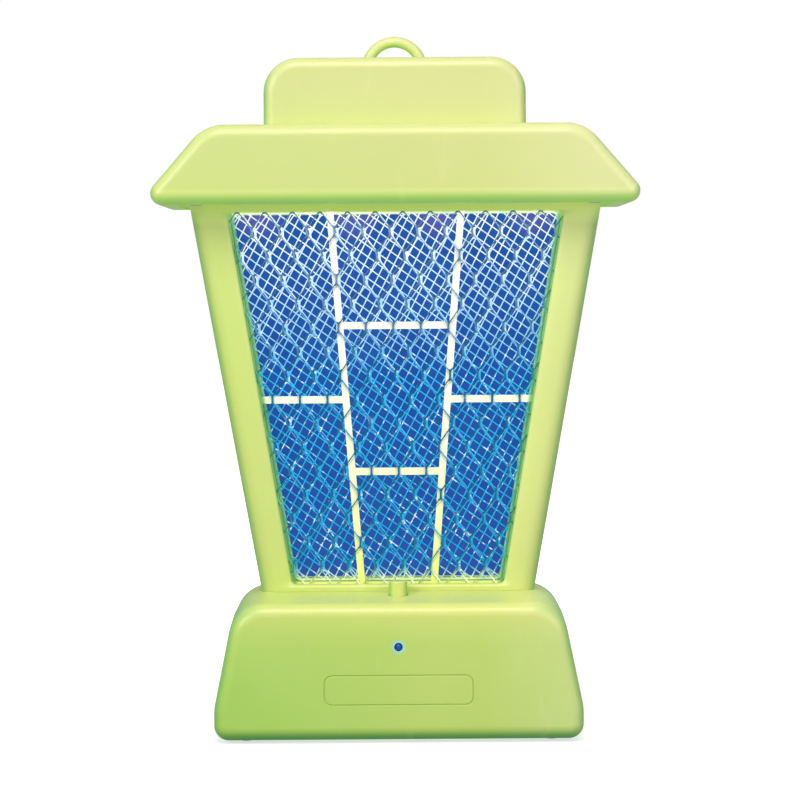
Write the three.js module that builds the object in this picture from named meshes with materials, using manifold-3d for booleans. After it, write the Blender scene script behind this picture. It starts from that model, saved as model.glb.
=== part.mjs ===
// A cordless lantern-shaped electric bug zapper, in millimetres.
// +Z is up, the front faces -Y, and the origin is at the bottom centre.
import * as THREE from 'three';
import { mergeVertices } from 'three/addons/utils/BufferGeometryUtils.js';
import Module from 'manifold-3d';

const wasm = await Module();
wasm.setup();

// ---- Driving dimensions ----

const GAP = 0.3; // clearance between neighbouring pieces
const WALL = 2.5; // moulded plastic wall
const ARC_STEPS = 6; // facets in a rounded corner
const HOLE_SIDES = 8; // facets round a small hole, boss or screw
const ROUND_SIDES = 16; // facets round a larger turned piece

const BASE = {
  halfWidth: 79.1, halfDepth: 45, bottom: 1.2, kneeHeight: 14.5, shoulderHalfWidth: 69.9,
  shoulderHeight: 60, crownHeight: 63, shoulderRadius: 15, kneeRadius: 25, bottomRadius: 6.4, edgeRadius: 6,
  openHalfWidth: 71.5, openHalfDepth: 37.5, openHeight: 8,
};
const FRAME = {
  footHalfWidth: 59.2, headHalfWidth: 88.7, footHalfDepth: 21, headHalfDepth: 31,
  foot: BASE.crownHeight + GAP, head: 230.9, cornerRadius: 7, wall: 2.4,
};
const WINDOW = {
  bottom: 66, top: 227.4, bottomHalfWidth: 45.7, topHalfWidth: 72.3, cornerRadius: 2.5,
};
const CAVITY = { bottom: 65, top: 229, margin: 2.5 }; // the space behind the window that holds its layers
const ROOF = {
  bottom: 230, top: 264, eavesHalfWidth: 110.1, ridgeHalfWidth: 80.7, halfDepth: 47,
  tipRadius: 5, ridgeRadius: 18, edgeRadius: 5.5, openHalfWidth: 94, openHalfDepth: 41, openHeight: 5,
};
const CAP = { halfWidth: 56.2, top: 293, halfDepth: 33, cornerRadius: 15, edgeRadius: 5 };
const LOOP = { centreHeight: 289.5, radius: 12, rodRadius: 2.35, footHeight: 284.6, footMargin: 5 };

// Layers behind each window, as distances behind the frame's front face
const GUARD = {
  depth: 2.7, thickness: 0.9, cellWidth: 11.85, cellHeight: 20.7, strand: 1.0, rim: 0.8,
  lean: 1.8, shift: -2.9,
};
const BARS = { depth: 3.9, thickness: 2.5, width: 3.0, rim: 2.6, bottomRim: 1.3 };
const CARRIER = { depth: 10, thickness: 4, lip: 1.8, bottomLip: 1.6 };
const GRID = { thickness: 0.4, overlap: 1.0 };

// Window bars: where the two uprights stand at the window's bottom and top, and each crossbar's height
const UPRIGHT_BOTTOM = 15.7;
const UPRIGHT_TOP = 28.2;
const CENTRE_CROSSBARS = [114.7, 178];
const SIDE_CROSSBARS = [146];

const PANEL = { halfThickness: 2, grip: 1.3, bottom: 65.4, top: 228.4 };
const SOFFIT = { bottom: 231.2, thickness: 2 };
const LED_PLACES = [-60, -18, 18, 60];
const UV_LED = { radius: 2.5, tip: 229, flange: 3, top: 234.2 };
const LED_BOARD = { endMargin: 9, halfDepth: 6, thickness: 1.6 };
const LIGHT_SLOT = { halfWidth: 66, halfDepth: 3.4 }; // lets the lamps reach the light panel's top edge
const CELL = { radius: 13.1, length: 50, pitch: 26.8, count: 4, front: -20, nubRadius: 3.2, nubLength: 1.9 };
const CELL_WALL = { thickness: 1.8, frontGap: 4.6, rearGap: 2, height: 21 };
const CONTACT = { thickness: 1.3, frontThickness: 2.1, lift: 4, height: 15, endMargin: 6 };
const TRAY = { halfWidth: 49.6, front: -19.2, rear: 44.8, bottom: 36.6, top: 53.6, wall: 1.6, face: 2.8 };
const TRAY_PULL = { halfWidth: 14, bottomMargin: 5, topMargin: 4 };
const TRAY_RAIL = { reach: 5, thickness: 1.5 };
const CHUTE = { halfWidth: 42, near: 3, far: 16.5 }; // the slots that insects fall through
const PLATE = { bottom: 1.5, thickness: 2.2 };
const DOOR = { halfWidth: 56, front: -20.2, hinge: 29.8 };
const FINGER_DIP = { halfWidth: 10, reach: 6 };
const PAD = { x: 64, y: 18, bottomRadius: 5, topRadius: 5.6, stem: 2, stemTop: 5 };
const BUTTON = {
  radius: 3.95, y: -26.8, top: 68, edge: 0.8, flange: 5.4, flangeBottom: 56.6, flangeTop: 58.1,
  stem: 1.2, stemBottom: 52.1,
};
const SWITCH = { halfWidth: 3.6, top: 53.3, boreRadius: 1.6, floor: 0.6 };
const SPRING = { wire: 0.25, radius: 2.4, turns: 3 };
const BOARD = { bottom: 47, thickness: 1.6, halfWidth: 45, front: -41, rear: -22.4 };
const TRANSFORMER = {
  x: 25.5, y: -32.75, halfWidth: 7.5, halfDepth: 6.25, height: 15, plate: 4,
  windingHalfWidth: 5, windingHalfDepth: 4.75,
};
const CAPACITOR = { x: -26, y: -33.25, halfWidth: 8, halfDepth: 4.25, height: 13 };
const LAMP = {
  height: 41.3, radius: 1.5, flange: 1.9, proud: 0.7, dome: 1.8, behindWall: 1.5, lead: 0.25, leadPitch: 1.8,
};
const SCREW = { head: 2.9, headHeight: 0.9, shank: 1.3, bore: 1.6, boreDepth: 12 };
const SCREW_LENGTHS = { base: 13, frame: 11, roof: 14 };

const lean = Math.atan((FRAME.headHalfDepth - FRAME.footHalfDepth) / (FRAME.head - FRAME.foot));

// ---- Finishes ----

const LIME = { color: 0xc3de6c, roughness: 0.42, metalness: 0 };
const LIGHT_LIME = { color: 0xe6ecb0, roughness: 0.45, metalness: 0 };
const BLUE_ACRYLIC = { color: 0x2b55b0, roughness: 0.15, metalness: 0 };
const STEEL = { color: 0xb8bec4, roughness: 0.35, metalness: 0.9 };
const BOARD_GREEN = { color: 0x1f6b3a, roughness: 0.6, metalness: 0 };
const BLACK = { color: 0x26272a, roughness: 0.6, metalness: 0 };
const RUBBER = { color: 0x3a3c3e, roughness: 0.9, metalness: 0 };
const CLEAR_VIOLET = { color: 0x9a86e0, roughness: 0.12, metalness: 0 };
const CLEAR_BLUE = { color: 0x3f7fd8, roughness: 0.12, metalness: 0 };
const CELL_JACKET = { color: 0x3c4046, roughness: 0.4, metalness: 0.2 };
const WINDING_YELLOW = { color: 0xd8c25a, roughness: 0.5, metalness: 0 };
const FILM_BROWN = { color: 0x8a3b26, roughness: 0.45, metalness: 0 };

// ---- Solid helpers ----

function solid(geometry) {
  geometry.deleteAttribute('normal');
  geometry.deleteAttribute('uv');
  const merged = mergeVertices(geometry);
  return new wasm.Manifold(new wasm.Mesh({
    numProp: 3,
    vertProperties: new Float32Array(merged.attributes.position.array),
    triVerts: new Uint32Array(merged.index.array),
  }));
}

function surface(body) {
  const mesh = body.getMesh();
  const geometry = new THREE.BufferGeometry();
  geometry.setAttribute('position', new THREE.BufferAttribute(mesh.vertProperties, 3));
  geometry.setIndex(new THREE.BufferAttribute(mesh.triVerts, 1));
  geometry.computeVertexNormals();
  return geometry;
}

function join(...geometries) {
  return geometries.map(solid).reduce((whole, piece) => whole.add(piece));
}

function cut(body, ...geometries) {
  return geometries.map(solid).reduce((rest, tool) => rest.subtract(tool), body);
}

function block(xMin, xMax, yMin, yMax, zMin, zMax) {
  const geometry = new THREE.BoxGeometry(xMax - xMin, yMax - yMin, zMax - zMin);
  geometry.translate((xMin + xMax) / 2, (yMin + yMax) / 2, (zMin + zMax) / 2);
  return geometry;
}

// A block about an upright axis
function pillar(x, y, halfWidth, halfDepth, bottom, top) {
  return block(x - halfWidth, x + halfWidth, y - halfDepth, y + halfDepth, bottom, top);
}

function upright(radius, bottom, top, x, y, sides = HOLE_SIDES) {
  const geometry = new THREE.CylinderGeometry(radius, radius, top - bottom, sides);
  geometry.rotateX(Math.PI / 2);
  geometry.translate(x, y, (bottom + top) / 2);
  return geometry;
}

// A turned solid about an upright axis. The profile's points are [radius, height], and it starts and
// ends on the axis.
function turned(profile, x, y, sides = HOLE_SIDES) {
  const points = profile.map(([radius, height]) => new THREE.Vector2(radius, height));
  const geometry = new THREE.LatheGeometry(points, sides);
  geometry.rotateX(Math.PI / 2);
  geometry.translate(x, y, 0);
  return geometry;
}

// A closed solid through rings with equal numbers of points. The rings run towards a viewer who
// sees each of them go round counter-clockwise, and the end rings are convex.
function loft(rings) {
  const count = rings[0].length;
  const index = [];
  for (let ring = 0; ring < rings.length - 1; ring += 1) {
    for (let i = 0; i < count; i += 1) {
      const here = ring * count + i;
      const next = ring * count + (i + 1) % count;
      index.push(here, next, next + count, here, next + count, here + count);
    }
  }
  const last = (rings.length - 1) * count;
  for (let i = 1; i < count - 1; i += 1) {
    index.push(0, i + 1, i);
    index.push(last, last + i, last + i + 1);
  }
  const geometry = new THREE.BufferGeometry();
  const positions = rings.flat().flatMap((point) => [point.x, point.y, point.z]);
  geometry.setAttribute('position', new THREE.Float32BufferAttribute(positions, 3));
  geometry.setIndex(index);
  return geometry;
}

// ---- Outlines: counter-clockwise corners [across, up, rounding] ----

function edgeDirection(from, to) {
  return new THREE.Vector2(to[0] - from[0], to[1] - from[1]).normalize();
}

function inwardNormal(direction) {
  return new THREE.Vector2(-direction.y, direction.x);
}

// The same outline with every edge moved inwards, or outwards where distance is negative
function insetCorners(corners, distance) {
  return corners.map((corner, i) => {
    const before = inwardNormal(edgeDirection(corners.at(i - 1), corner));
    const after = inwardNormal(edgeDirection(corner, corners[(i + 1) % corners.length]));
    const shift = distance / (1 + before.dot(after));
    const radius = corner[2] === 0 ? 0 : Math.max(corner[2] - distance, GAP);
    return [corner[0] + (before.x + after.x) * shift, corner[1] + (before.y + after.y) * shift, radius];
  });
}

// The outline's points, with an arc at each corner that has a rounding
function outlinePoints(corners, steps = ARC_STEPS) {
  return corners.flatMap((corner, i) => {
    const [x, y, radius] = corner;
    if (radius === 0) {
      return [new THREE.Vector2(x, y)];
    }
    const arriving = edgeDirection(corners.at(i - 1), corner);
    const leaving = edgeDirection(corner, corners[(i + 1) % corners.length]);
    const turn = Math.acos(arriving.dot(leaving));
    const tangent = radius * Math.tan(turn / 2);
    const spoke = inwardNormal(arriving).multiplyScalar(-radius);
    const centre = new THREE.Vector2(x, y).addScaledVector(arriving, -tangent).sub(spoke);
    return Array.from({ length: steps + 1 }, (_, k) => (
      centre.clone().add(spoke.clone().rotateAround(new THREE.Vector2(), turn * k / steps))
    ));
  });
}

// A mirrored outline from its right-hand corners, listed from the bottom up
function mirrored(rightCorners) {
  const leftCorners = rightCorners.map(([x, z, radius]) => [-x, z, radius]).reverse();
  return [...rightCorners, ...leftCorners];
}

function ringAtDepth(corners, y) {
  return outlinePoints(corners).map((point) => new THREE.Vector3(point.x, y, point.y));
}

// Rings of an upright slab with filleted front and rear edges, from the rear to the front.
// cornersAt gives the outline at a depth, and middle lists depths between the two fillets.
function slabRings(cornersAt, halfDepth, fillet, middle = []) {
  const angles = Array.from({ length: ARC_STEPS + 1 }, (_, k) => k / ARC_STEPS * Math.PI / 2);
  const end = angles.map((angle) => ({
    y: halfDepth - fillet + fillet * Math.cos(angle),
    inset: fillet - fillet * Math.sin(angle),
  }));
  const rear = end.map(({ y, inset }) => ringAtDepth(insetCorners(cornersAt(y), inset), y));
  const between = middle.map((y) => ringAtDepth(cornersAt(y), y));
  const front = end.map(({ y, inset }) => ringAtDepth(insetCorners(cornersAt(-y), inset), -y)).reverse();
  return [...rear, ...between, ...front];
}

// A flat plate from an outline, standing between two depths
function standingPlate(points, frontY, rearY) {
  const shape = new THREE.Shape(points);
  const geometry = new THREE.ExtrudeGeometry(shape, { depth: rearY - frontY, bevelEnabled: false });
  geometry.rotateX(Math.PI / 2);
  geometry.translate(0, rearY, 0);
  return geometry;
}

// The same plate with openings cut right through it
function piercedPlate(points, frontY, rearY, openings) {
  const cutters = openings.map((opening) => standingPlate(opening, frontY - 1, rearY + 1));
  return surface(cut(solid(standingPlate(points, frontY, rearY)), ...cutters));
}

// ---- Window geometry ----

function windowHalfWidth(height) {
  const share = (height - WINDOW.bottom) / (WINDOW.top - WINDOW.bottom);
  return WINDOW.bottomHalfWidth + share * (WINDOW.topHalfWidth - WINDOW.bottomHalfWidth);
}

// A trapezoid that follows the window's slanted sides, between two heights
function trapezoid(bottom, top, margin, radius) {
  return mirrored([
    [windowHalfWidth(bottom) + margin, bottom, radius],
    [windowHalfWidth(top) + margin, top, radius],
  ]);
}

// Stands a piece, drawn with its front at depth 0, in the leaning front face of the frame
function leanForward(geometry) {
  geometry.translate(0, 0, -FRAME.foot);
  geometry.rotateX(lean);
  geometry.translate(0, -FRAME.footHalfDepth, FRAME.foot);
  return geometry;
}

const layerOutline = trapezoid(
  CAVITY.bottom + GAP,
  CAVITY.top - GAP,
  CAVITY.margin - GAP,
  WINDOW.cornerRadius,
);
const carrierOpening = trapezoid(
  WINDOW.bottom + CARRIER.bottomLip,
  WINDOW.top - CARRIER.lip,
  -CARRIER.lip,
  WINDOW.cornerRadius,
);

// ---- Base ----

function baseCorners(y) {
  const slopeRun = BASE.halfDepth - BASE.edgeRadius - FRAME.footHalfDepth;
  const slope = (Math.abs(y) - FRAME.footHalfDepth) / slopeRun;
  const rise = 1 - THREE.MathUtils.clamp(slope, 0, 1);
  const top = BASE.shoulderHeight + (BASE.crownHeight - BASE.shoulderHeight) * rise;
  const draft = (BASE.halfWidth - BASE.shoulderHalfWidth) / (BASE.shoulderHeight - BASE.kneeHeight);
  const topHalfWidth = BASE.shoulderHalfWidth - (top - BASE.shoulderHeight) * draft;
  return mirrored([
    [BASE.halfWidth, BASE.bottom, BASE.bottomRadius],
    [BASE.halfWidth, BASE.kneeHeight, BASE.kneeRadius],
    [topHalfWidth, top, BASE.shoulderRadius],
  ]);
}

const PLATE_BOSS = { x: 65.5, y: 32, radius: 4.2 };
const FOOT_SCREW = { x: 53.4, y: 11.5, bossRadius: 3.2, bossHeight: 12, boreDepth: 9 };

function corners4(x, y) {
  return [[-x, -y], [x, -y], [-x, y], [x, y]];
}

function baseShell() {
  const crown = [FRAME.footHalfDepth, -FRAME.footHalfDepth];
  const outside = loft(slabRings(baseCorners, BASE.halfDepth, BASE.edgeRadius, crown));
  const innerHalfDepth = BASE.halfDepth - WALL;
  const hollow = loft([innerHalfDepth, ...crown, -innerHalfDepth].map((y) => (
    ringAtDepth(insetCorners(baseCorners(y), WALL), y)
  )));
  const bottomOpening = block(
    -BASE.openHalfWidth, BASE.openHalfWidth, -BASE.openHalfDepth, BASE.openHalfDepth, 0, BASE.openHeight,
  );
  let body = solid(outside).subtract(join(hollow, bottomOpening));

  const underTop = BASE.crownHeight - WALL / 2;
  const bossBottom = PLATE.bottom + PLATE.thickness + GAP;
  for (const [x, y] of corners4(PLATE_BOSS.x, PLATE_BOSS.y)) {
    const bossTop = BASE.shoulderHeight - BASE.edgeRadius;
    body = body.add(solid(upright(PLATE_BOSS.radius, bossBottom, bossTop, x, y)));
    body = cut(body, upright(SCREW.bore, 0, bossBottom + SCREW.boreDepth, x, y));
  }
  for (const side of [-1, 1]) {
    const inner = side * (TRAY.halfWidth - TRAY_RAIL.reach);
    const outer = side * (BASE.shoulderHalfWidth + WALL / 2);
    const railTop = TRAY.bottom - GAP;
    const rail = block(
      Math.min(inner, outer), Math.max(inner, outer),
      TRAY.front, BASE.halfDepth - WALL / 2, railTop - TRAY_RAIL.thickness, railTop,
    );
    body = body.add(solid(rail));
  }
  for (const [x, y] of corners4(FOOT_SCREW.x, FOOT_SCREW.y)) {
    body = cut(body, upright(SCREW.bore, underTop - WALL, BASE.crownHeight + 1, x, y));
  }
  for (const side of [-1, 1]) {
    const near = side * CHUTE.near;
    const far = side * CHUTE.far;
    body = cut(body, block(
      -CHUTE.halfWidth, CHUTE.halfWidth, Math.min(near, far), Math.max(near, far),
      underTop - WALL, BASE.crownHeight + 1,
    ));
  }
  const traySlot = block(
    -TRAY.halfWidth - GAP * 2, TRAY.halfWidth + GAP * 2, BASE.openHalfDepth, BASE.halfDepth + 1,
    TRAY.bottom - GAP, TRAY.top + GAP,
  );
  const buttonHole = upright(
    BUTTON.radius + GAP, underTop - WALL * 2, BASE.crownHeight + 1, 0, BUTTON.y, ROUND_SIDES,
  );
  const lampHole = new THREE.CylinderGeometry(LAMP.radius + GAP, LAMP.radius + GAP, WALL * 2, HOLE_SIDES);
  lampHole.translate(0, -BASE.halfDepth, LAMP.height);
  return surface(cut(body, traySlot, buttonHole, lampHole));
}

function doorOpening(bottom, top) {
  const rear = DOOR.hinge + PLATE.thickness / 2 + GAP;
  return block(-DOOR.halfWidth - GAP, DOOR.halfWidth + GAP, DOOR.front - GAP, rear, bottom, top);
}

function basePlate() {
  const halfWidth = BASE.openHalfWidth - GAP;
  const halfDepth = BASE.openHalfDepth - GAP;
  const top = PLATE.bottom + PLATE.thickness;
  const wallStarts = [CELL.front - CELL_WALL.frontGap, CELL.front + CELL.length + CELL_WALL.rearGap];
  const bodyWithWalls = join(
    block(-halfWidth, halfWidth, -halfDepth, halfDepth, PLATE.bottom, top),
    ...wallStarts.map((y) => (
      block(-DOOR.halfWidth, DOOR.halfWidth, y, y + CELL_WALL.thickness, top - 1, top + CELL_WALL.height)
    )),
  );
  const holes = [
    ...corners4(PLATE_BOSS.x, PLATE_BOSS.y).map(([x, y]) => upright(SCREW.bore, 0, top + 1, x, y)),
    ...corners4(PAD.x, PAD.y).map(([x, y]) => upright(PAD.stem + GAP, 0, top + 1, x, y)),
  ];
  return surface(cut(bodyWithWalls, doorOpening(0, top + 1), ...holes));
}

// The door turns about its rounded rear edge
function batteryDoor() {
  const half = PLATE.thickness / 2;
  const edge = new THREE.CylinderGeometry(half, half, DOOR.halfWidth * 2, 12);
  edge.rotateZ(Math.PI / 2);
  edge.translate(0, DOOR.hinge, PLATE.bottom + half);
  const leaf = block(
    -DOOR.halfWidth, DOOR.halfWidth, DOOR.front, DOOR.hinge, PLATE.bottom, PLATE.bottom + PLATE.thickness,
  );
  const { halfWidth, reach } = FINGER_DIP;
  const fingerDip = block(-halfWidth, halfWidth, DOOR.front - 1, DOOR.front + reach, 0, PLATE.bottom + half);
  return surface(cut(join(edge, leaf), fingerDip));
}

function rubberFoot(x, y) {
  const { bottomRadius, topRadius, stem, stemTop } = PAD;
  const padTop = PLATE.bottom - GAP;
  return turned([
    [0, 0], [bottomRadius, 0], [topRadius, padTop], [stem, padTop], [stem, stemTop], [0, stemTop],
  ], x, y, 12);
}

function catchTray() {
  const outer = block(-TRAY.halfWidth, TRAY.halfWidth, TRAY.front, TRAY.rear, TRAY.bottom, TRAY.top);
  const inner = block(
    -TRAY.halfWidth + TRAY.wall, TRAY.halfWidth - TRAY.wall, TRAY.front + TRAY.wall, TRAY.rear - TRAY.face,
    TRAY.bottom + TRAY.wall, TRAY.top + 1,
  );
  const pull = block(
    -TRAY_PULL.halfWidth, TRAY_PULL.halfWidth, TRAY.rear - TRAY.face / 2, TRAY.rear + 1,
    TRAY.bottom + TRAY_PULL.bottomMargin, TRAY.top - TRAY_PULL.topMargin,
  );
  return surface(cut(solid(outer), inner, pull));
}

// ---- Electronics in the base ----

function batteryCell(x) {
  const { radius, length, front, nubRadius, nubLength } = CELL;
  const shoulder = length - nubLength;
  const profile = [
    [0, 0], [radius, 0], [radius, shoulder], [nubRadius, shoulder], [nubRadius, length], [0, length],
  ];
  const points = profile.map(([r, along]) => new THREE.Vector2(r, along));
  const geometry = new THREE.LatheGeometry(points, ROUND_SIDES);
  geometry.translate(x, front, PLATE.bottom + PLATE.thickness + GAP * 2 + radius);
  return geometry;
}

function contactStrip(frontY, rearY) {
  const halfWidth = DOOR.halfWidth - CONTACT.endMargin;
  const bottom = PLATE.bottom + PLATE.thickness + CONTACT.lift;
  return block(-halfWidth, halfWidth, frontY, rearY, bottom, bottom + CONTACT.height);
}

function mainBoard() {
  return block(
    -BOARD.halfWidth, BOARD.halfWidth, BOARD.front, BOARD.rear, BOARD.bottom, BOARD.bottom + BOARD.thickness,
  );
}

// A winding between two core plates, hanging under the board
function hvTransformer() {
  const { x, y, halfWidth, halfDepth, height, plate, windingHalfWidth, windingHalfDepth } = TRANSFORMER;
  const top = BOARD.bottom - GAP;
  const bottom = top - height;
  return surface(join(
    pillar(x, y, halfWidth, halfDepth, top - plate, top),
    pillar(x, y, windingHalfWidth, windingHalfDepth, bottom + plate - 1, top - plate + 1),
    pillar(x, y, halfWidth, halfDepth, bottom, bottom + plate),
  ));
}

function hvCapacitor() {
  const top = BOARD.bottom - GAP;
  return pillar(
    CAPACITOR.x, CAPACITOR.y, CAPACITOR.halfWidth, CAPACITOR.halfDepth, top - CAPACITOR.height, top,
  );
}

function pushSwitch() {
  const bottom = BOARD.bottom + BOARD.thickness + GAP;
  const body = pillar(0, BUTTON.y, SWITCH.halfWidth, SWITCH.halfWidth, bottom, SWITCH.top);
  const bore = upright(SWITCH.boreRadius, bottom + SWITCH.floor, SWITCH.top + 1, 0, BUTTON.y);
  return surface(cut(solid(body), bore));
}

function powerButton() {
  const { radius, top, edge, flange, flangeBottom, flangeTop, stem, stemBottom } = BUTTON;
  return turned([
    [0, stemBottom], [stem, stemBottom], [stem, flangeBottom], [flange, flangeBottom], [flange, flangeTop],
    [radius, flangeTop], [radius, top - edge], [radius - edge, top], [0, top],
  ], 0, BUTTON.y, ROUND_SIDES);
}

// A coil of thin wire round the button's stem
function buttonSpring() {
  const { wire, radius, turns } = SPRING;
  const bottom = SWITCH.top + GAP + wire;
  const top = BUTTON.flangeBottom - GAP - wire;
  const stepsPerTurn = 8;
  const sides = 4;
  const rings = Array.from({ length: turns * stepsPerTurn + 1 }, (_, step) => {
    const angle = step / stepsPerTurn * Math.PI * 2;
    const height = bottom + (top - bottom) * step / (turns * stepsPerTurn);
    return Array.from({ length: sides }, (__, k) => {
      const around = -k / sides * Math.PI * 2;
      const out = radius + wire * Math.cos(around);
      return new THREE.Vector3(
        out * Math.cos(angle), BUTTON.y + out * Math.sin(angle), height + wire * Math.sin(around),
      );
    });
  });
  return loft(rings);
}

function indicatorLed() {
  const { radius, flange, lead } = LAMP;
  const rear = -BASE.halfDepth + WALL + LAMP.behindWall;
  const tip = -BASE.halfDepth - LAMP.proud;
  const dome = [0, 30, 60, 90].map((degrees) => {
    const angle = THREE.MathUtils.degToRad(degrees);
    return [radius * Math.sin(angle), tip + LAMP.dome * (1 - Math.cos(angle))];
  });
  const profile = [...dome, [radius, rear - 1], [flange, rear - 1], [flange, rear], [0, rear]];
  const lens = new THREE.LatheGeometry(profile.map(([r, along]) => new THREE.Vector2(r, along)), 12);
  lens.translate(0, 0, LAMP.height);
  const leads = [-LAMP.leadPitch / 2, LAMP.leadPitch / 2].flatMap((x) => [
    block(x - lead, x + lead, rear - 0.5, rear + 1.5, LAMP.height - lead, LAMP.height + lead),
    block(x - lead, x + lead, rear + 1, rear + 1.5, LAMP.height - lead, BOARD.bottom - GAP),
  ]);
  return surface(join(lens, ...leads));
}

// ---- Lantern frame ----

function frameShare(height) {
  return (height - FRAME.foot) / (FRAME.head - FRAME.foot);
}

function frameHalfWidth(height) {
  return THREE.MathUtils.lerp(FRAME.footHalfWidth, FRAME.headHalfWidth, frameShare(height));
}

function frameHalfDepth(height) {
  return THREE.MathUtils.lerp(FRAME.footHalfDepth, FRAME.headHalfDepth, frameShare(height));
}

function planRing(xMin, xMax, yMin, yMax, height, radius) {
  const corners = [[xMin, yMin, radius], [xMax, yMin, radius], [xMax, yMax, radius], [xMin, yMax, radius]];
  return outlinePoints(corners).map((point) => new THREE.Vector3(point.x, point.y, height));
}

function frameRing(height) {
  const x = frameHalfWidth(height);
  const y = frameHalfDepth(height);
  return planRing(-x, x, -y, y, height, FRAME.cornerRadius);
}

// The hollow inside one post, between its outer wall and the window's side
function postPocket(side) {
  const endWall = 3;
  const sideWall = 2;
  const rings = [FRAME.foot + endWall, FRAME.head - endWall].map((height) => {
    const inner = windowHalfWidth(height) + CAVITY.margin + sideWall;
    const outer = frameHalfWidth(height) - FRAME.wall;
    const depth = frameHalfDepth(height) - FRAME.wall;
    const [xMin, xMax] = side < 0 ? [-outer, -inner] : [inner, outer];
    return planRing(xMin, xMax, -depth, depth, height, 0);
  });
  return loft(rings);
}

// The front half of the frame. The rear half is the same piece turned round.
function frameHalf() {
  const tall = 20;
  let body = solid(loft([frameRing(FRAME.foot), frameRing(FRAME.head)]));
  body = body.subtract(join(postPocket(-1), postPocket(1)));
  for (const side of [-1, 1]) {
    const place = [side * FOOT_SCREW.x, -FOOT_SCREW.y];
    const boss = upright(FOOT_SCREW.bossRadius, FRAME.foot + 1, FRAME.foot + FOOT_SCREW.bossHeight, ...place);
    body = body.add(solid(boss));
    body = cut(body, upright(SCREW.bore, FRAME.foot - 1, FRAME.foot + FOOT_SCREW.boreDepth, ...place));
  }
  const windowPoints = outlinePoints(trapezoid(WINDOW.bottom, WINDOW.top, 0, WINDOW.cornerRadius));
  const cavityCorners = trapezoid(CAVITY.bottom, CAVITY.top, CAVITY.margin, WINDOW.cornerRadius);
  const grooveCorners = trapezoid(CAVITY.bottom, CAVITY.top, CAVITY.margin + PANEL.grip + GAP, 0);
  const beyond = FRAME.headHalfWidth + tall;
  return surface(cut(
    body,
    leanForward(standingPlate(windowPoints, -tall, FRAME.wall + 1)),
    leanForward(standingPlate(outlinePoints(cavityCorners), FRAME.wall, FRAME.headHalfDepth + tall)),
    standingPlate(outlinePoints(grooveCorners), -PANEL.halfThickness - GAP, tall),
    block(-CHUTE.halfWidth, CHUTE.halfWidth, -CHUTE.far, -CHUTE.near, FRAME.foot - 1, WINDOW.bottom + 1),
    block(
      -LIGHT_SLOT.halfWidth, LIGHT_SLOT.halfWidth, -LIGHT_SLOT.halfDepth, tall,
      CAVITY.top - 1, FRAME.head + 1,
    ),
    block(-beyond, beyond, -GAP / 2, beyond, 0, FRAME.head + tall),
  ));
}

// Expanded-metal guard: a sheet with a leaning lattice of diamond openings inside a plain rim
function guardMesh() {
  const sheet = solid(standingPlate(outlinePoints(layerOutline), 0, GUARD.thickness));
  const fieldPoints = outlinePoints(insetCorners(layerOutline, GUARD.rim));
  const field = solid(standingPlate(fieldPoints, -1, GUARD.thickness + 1));
  const halfWide = (GUARD.cellWidth - GUARD.strand * 1.15) / 2;
  const halfTall = (GUARD.cellHeight - GUARD.strand * 2) / 2;
  const drift = Math.tan(THREE.MathUtils.degToRad(GUARD.lean));
  const rows = Math.ceil((CAVITY.top - CAVITY.bottom) / GUARD.cellHeight * 2) + 2;
  const columns = Math.ceil(windowHalfWidth(CAVITY.top) / GUARD.cellWidth) + 1;
  const openings = [];
  for (let row = 0; row < rows; row += 1) {
    const up = CAVITY.top - row * GUARD.cellHeight / 2;
    for (let column = -columns; column <= columns; column += 1) {
      const across = (column + (row % 2) / 2) * GUARD.cellWidth + GUARD.shift + (CAVITY.top - up) * drift;
      const opening = [[0, -halfTall], [halfWide, 0], [0, halfTall], [-halfWide, 0]]
        .map(([dx, dz]) => new THREE.Vector2(across + dx, up + dz));
      const reach = Math.abs(across) - halfWide;
      if (reach < windowHalfWidth(up) + CAVITY.margin) {
        openings.push(solid(standingPlate(opening, -2, GUARD.thickness + 2)));
      }
    }
  }
  const lattice = wasm.Manifold.union(openings).intersect(field);
  const [mesh] = sheet.subtract(lattice).decompose().sort((a, b) => b.volume() - a.volume());
  const geometry = surface(mesh);
  geometry.translate(0, GUARD.depth, 0);
  return leanForward(geometry);
}

function uprightPlace(height) {
  const share = (height - WINDOW.bottom) / (WINDOW.top - WINDOW.bottom);
  return UPRIGHT_BOTTOM + share * (UPRIGHT_TOP - UPRIGHT_BOTTOM);
}

// Panes of one column of the window, split by its crossbars. left and right give its sides at a height.
function panes(left, right, crossbars) {
  const bottom = CAVITY.bottom + GAP + BARS.bottomRim;
  const edges = [bottom, ...crossbars.flatMap((z) => [z - BARS.width / 2, z + BARS.width / 2]), WINDOW.top];
  return Array.from({ length: edges.length / 2 }, (_, i) => {
    const low = edges[i * 2];
    const high = edges[i * 2 + 1];
    return [[left(low), low], [right(low), low], [right(high), high], [left(high), high]]
      .map(([x, z]) => new THREE.Vector2(x, z));
  });
}

function windowBars() {
  const half = BARS.width / 2;
  const side = (height) => windowHalfWidth(height) + CAVITY.margin - GAP - BARS.rim;
  const holes = [
    ...panes((z) => -side(z), (z) => -uprightPlace(z) - half, SIDE_CROSSBARS),
    ...panes((z) => -uprightPlace(z) + half, (z) => uprightPlace(z) - half, CENTRE_CROSSBARS),
    ...panes((z) => uprightPlace(z) + half, side, SIDE_CROSSBARS),
  ];
  const points = outlinePoints(layerOutline);
  return leanForward(piercedPlate(points, BARS.depth, BARS.depth + BARS.thickness, holes));
}

function gridCarrier() {
  const points = outlinePoints(layerOutline);
  const rear = CARRIER.depth + CARRIER.thickness;
  return leanForward(piercedPlate(points, CARRIER.depth, rear, [outlinePoints(carrierOpening)]));
}

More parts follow.
